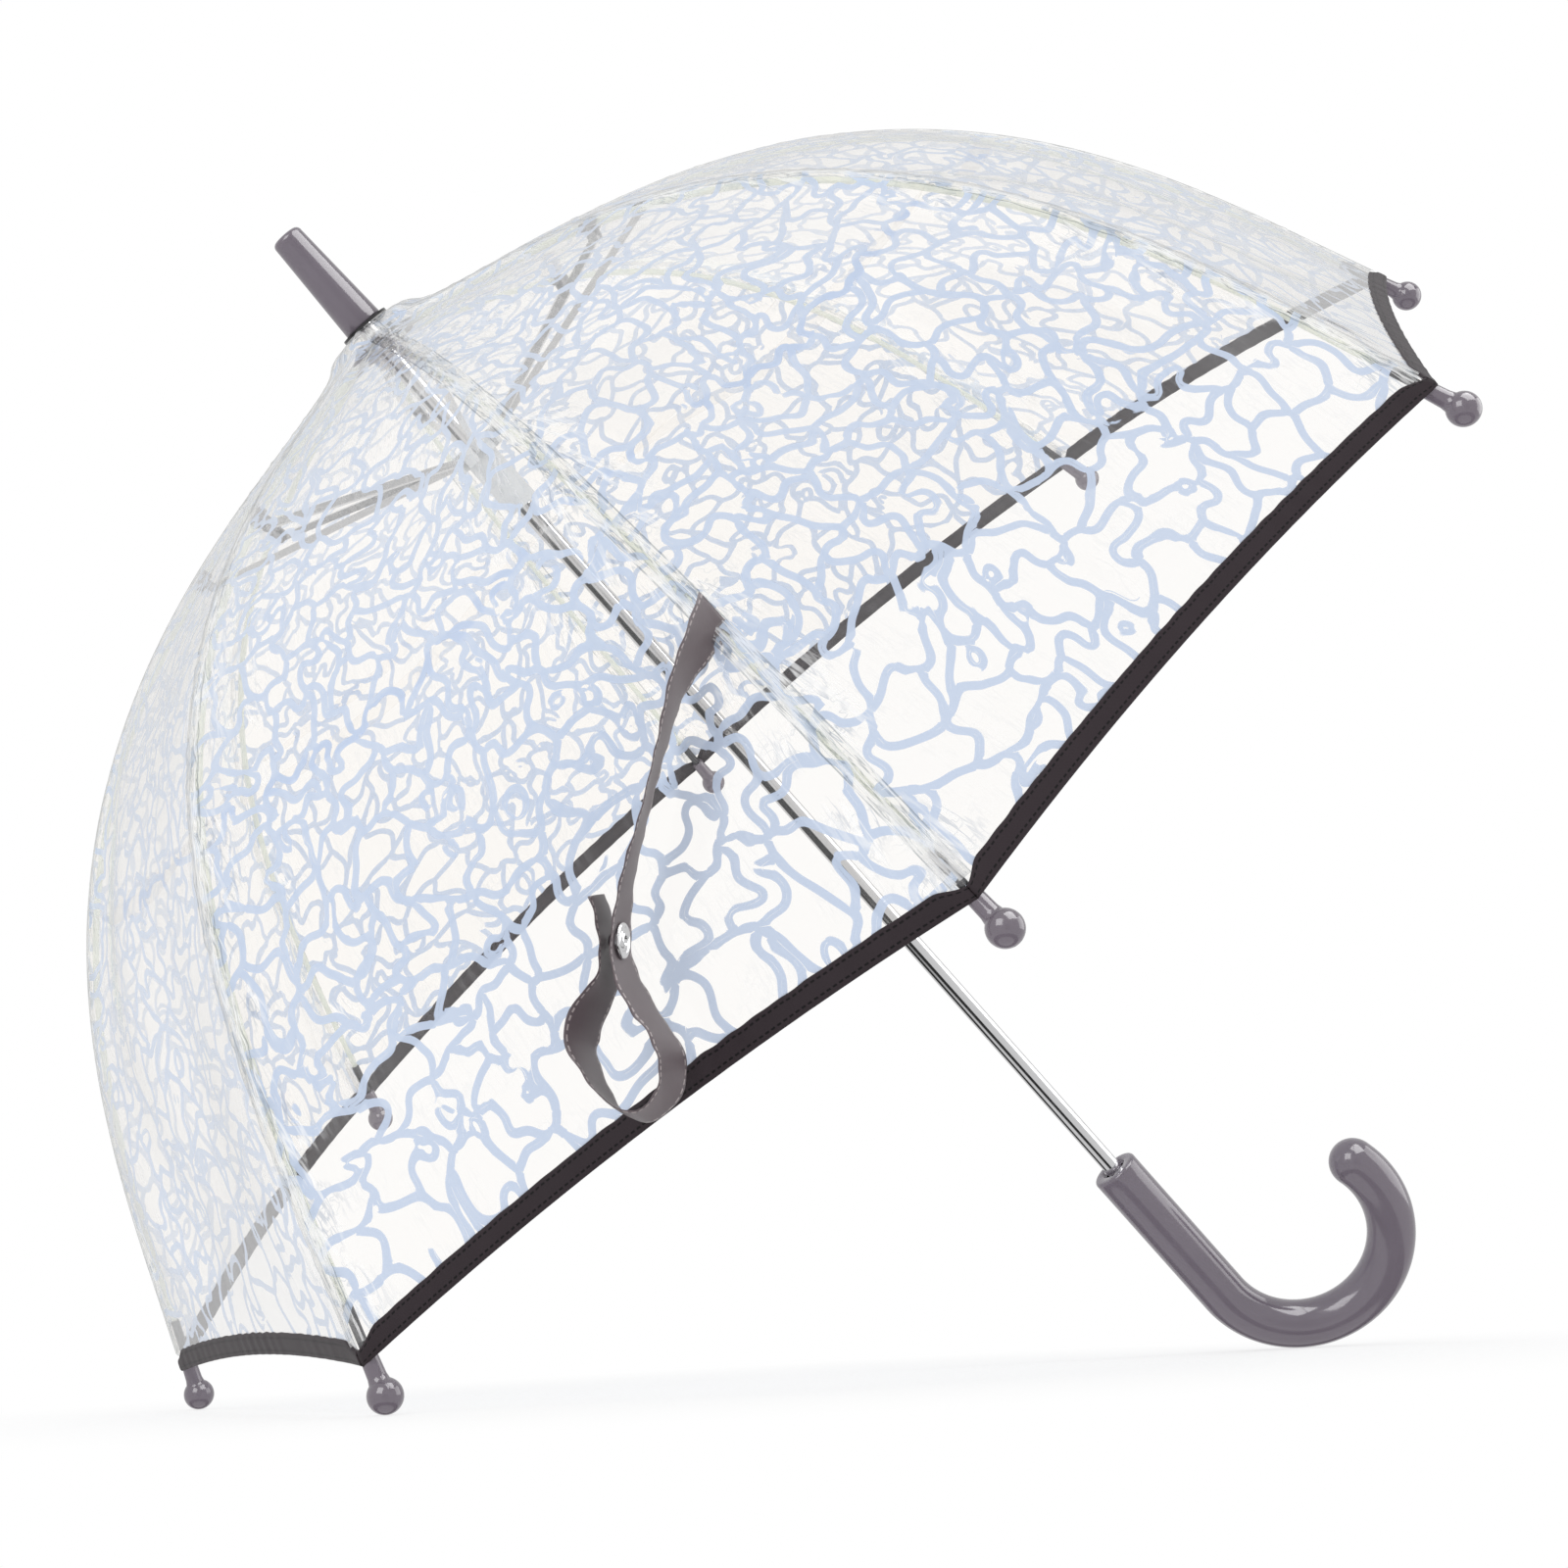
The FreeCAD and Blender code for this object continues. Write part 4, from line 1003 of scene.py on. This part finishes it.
def snap():
    """Press stud: a domed cap with a rolled rim and a small socket, on the hanging part."""
    path, _, face = strap_lines()
    drop = (path[:100] - STRAP_ROOT) @ STRAP_DOWN  # the hanging part, not the end looped back
    index = int(np.argmin(np.abs(drop - SNAP_DROP)))
    axis = face[index] * math.copysign(1.0, face[index] @ STRAP_SIDE)
    profile = [(5.6, 0.1), (5.95, 0.4), (6.0, 0.8), (5.6, 1.25), (5.1, 1.3), (4.5, 1.0), (3.9, 0.8)]
    profile += [(3.3, 0.95), (2.9, 1.4), (2.4, 1.7), (1.9, 1.75), (1.55, 1.5), (1.4, 0.7), (0.05, 0.6)]
    points, faces = lathe(profile, path[index] + axis * 0.2, axis, 48)
    cap = piece("snap_cap", points * MM, faces, CHROME)
    back_profile = [(5.4, -0.1), (5.6, 0.3), (5.5, 0.9), (4.0, 1.3), (3.0, 2.0), (2.2, 3.2)]
    back_profile += [(2.0, 3.4), (0.05, 3.4)]
    points, faces = lathe(back_profile, path[index] - axis * 0.2, -axis, 40)
    stud = piece("snap_stud", points * MM, faces, CHROME)
    for thing in (cap, stud):
        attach(thing, "strap")
    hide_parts("strap_snap")


strap()
snap()


# -------------------------------------------------------------------- stage

# Pieces that the highlight lamps light
SHINY = ("handle_moulding", "ferrule_cap", "tip_", "shaft_chrome", "snap_", "strap_ribbon")

# Square lamps: name, place and size in metres, and power in watts
SOFTBOXES = (
    ("key_softbox", (-1.6, -1.5, 1.9), 1.2, 14.0),
    ("fill_softbox", (1.9, -0.9, 1.3), 1.0, 8.0),
    ("back_softbox", (0.3, 1.9, 1.7), 1.4, 10.0),
)
HIGHLIGHTS = (
    ("upper_highlight", (0.30, -0.75, 1.35), 1.1, 17.0),
    ("left_highlight", (-1.30, -0.90, 0.95), 1.0, 12.0),
    ("right_highlight", (1.40, -0.60, 0.65), 1.2, 8.0),
)
LAMP_TARGET = (0.0, 0.0, 0.25)


def floor_and_backdrop():
    """Pale floor that turns pure white further out, and a white backdrop that only the camera sees."""
    floor_material, tree = new_material("pale_floor")
    pale = {"Base Color": (0.97, 0.97, 0.97, 1.0), "Roughness": 0.7}
    shader = node(tree, "ShaderNodeBsdfPrincipled", pale)
    from_middle = vector_math("LENGTH", node(tree, "ShaderNodeTexCoord", output="Object"), output="Value")
    far = ramp(from_middle, 0.15, 0.48, 0.60, 1.0)
    finished(floor_material, mix_shaders(far, shader, node(tree, "ShaderNodeEmission")))
    bpy.ops.mesh.primitive_circle_add(vertices=96, radius=9.0, fill_type="NGON", location=(0.0, 0.0, 0.0))
    floor = bpy.context.object
    floor.name = "floor"
    floor.data.materials.append(floor_material)
    floor.visible_glossy = False
    white, tree = new_material("backdrop_white")
    finished(white, node(tree, "ShaderNodeEmission"))
    bpy.ops.mesh.primitive_uv_sphere_add(segments=64, ring_count=32, radius=10.0)
    backdrop = bpy.context.object
    backdrop.name = "backdrop"
    backdrop.data.materials.append(white)
    backdrop.visible_diffuse = backdrop.visible_glossy = backdrop.visible_shadow = False


def card_patch(direction, toward, low, high):
    """1 inside a round patch of the surroundings, round a direction."""
    return ramp(vector_math("DOT_PRODUCT", direction, toward, "Value"), low, high)


def surroundings():
    """Soft white light from all round, with dark cards for the gloss to mirror."""
    world = bpy.data.worlds.new("studio")
    bpy.context.scene.world = world
    world.use_nodes = True
    tree = world.node_tree
    tree.nodes.clear()
    direction = node(tree, "ShaderNodeTexCoord", output="Generated")
    height = parts(direction)[2]
    under = ramp(height, -0.62, -0.58, 1.0, 0.0) * ramp(height, -0.86, -0.80)
    over = card_patch(direction, (0.70, -0.36, 0.62), 0.975, 0.99) * 0.6
    behind = card_patch(direction, (-0.30, -0.94, -0.07), 0.93, 0.95) * 0.35
    dark = under.apply("MAXIMUM", over).apply("MAXIMUM", behind)
    level = ramp(height, -0.2, 0.9, 0.80, 0.90) * ramp(dark, 0.0, 1.0, 1.0, 0.04)
    background = node(tree, "ShaderNodeBackground", {"Strength": level})
    output = tree.nodes.new("ShaderNodeOutputWorld")
    tree.links.new(background.socket, output.inputs["Surface"])


def softbox(name, place, size, power):
    """Square lamp that faces the object."""
    light = bpy.data.lights.new(name, "AREA")
    light.size = size
    light.energy = power
    lamp = bpy.data.objects.new(name, light)
    lamp.location = place
    lamp.rotation_mode = "QUATERNION"
    lamp.rotation_quaternion = (Vector(LAMP_TARGET) - Vector(place)).to_track_quat("-Z", "Y")
    bpy.context.scene.collection.objects.link(lamp)
    return lamp


def lamps():
    """Soft lamps that nothing mirrors, and highlight lamps that only hard and satin pieces mirror."""
    for lamp in SOFTBOXES:
        softbox(*lamp).visible_glossy = False
    shiny = bpy.data.collections.new("shiny_pieces")
    for thing in bpy.context.scene.objects:
        if thing.name.startswith(SHINY):
            shiny.objects.link(thing)
    for highlight in HIGHLIGHTS:
        lamp = softbox(*highlight)
        lamp.visible_diffuse = False
        lamp.light_linking.receiver_collection = shiny


def camera():
    """The photograph's viewing angle."""
    data = bpy.data.cameras.new("camera")
    data.lens = CAMERA_LENS
    data.clip_start = 0.01
    thing = bpy.data.objects.new("camera", data)
    thing.location = CAMERA_PLACE
    thing.rotation_mode = "QUATERNION"
    level = CAMERA_FORWARD.to_track_quat("-Z", "Y")
    roll = Quaternion((0.0, 0.0, 1.0), math.radians(CAMERA_ROLL))
    thing.rotation_quaternion = level @ roll
    bpy.context.scene.collection.objects.link(thing)
    bpy.context.scene.camera = thing


floor_and_backdrop()
surroundings()
lamps()
camera()
scene = bpy.context.scene
scene.view_settings.view_transform = "Standard"
# A ray through the dome can cross dozens of clear layers
scene.cycles.transparent_max_bounces = 64
scene.cycles.max_bounces = 10
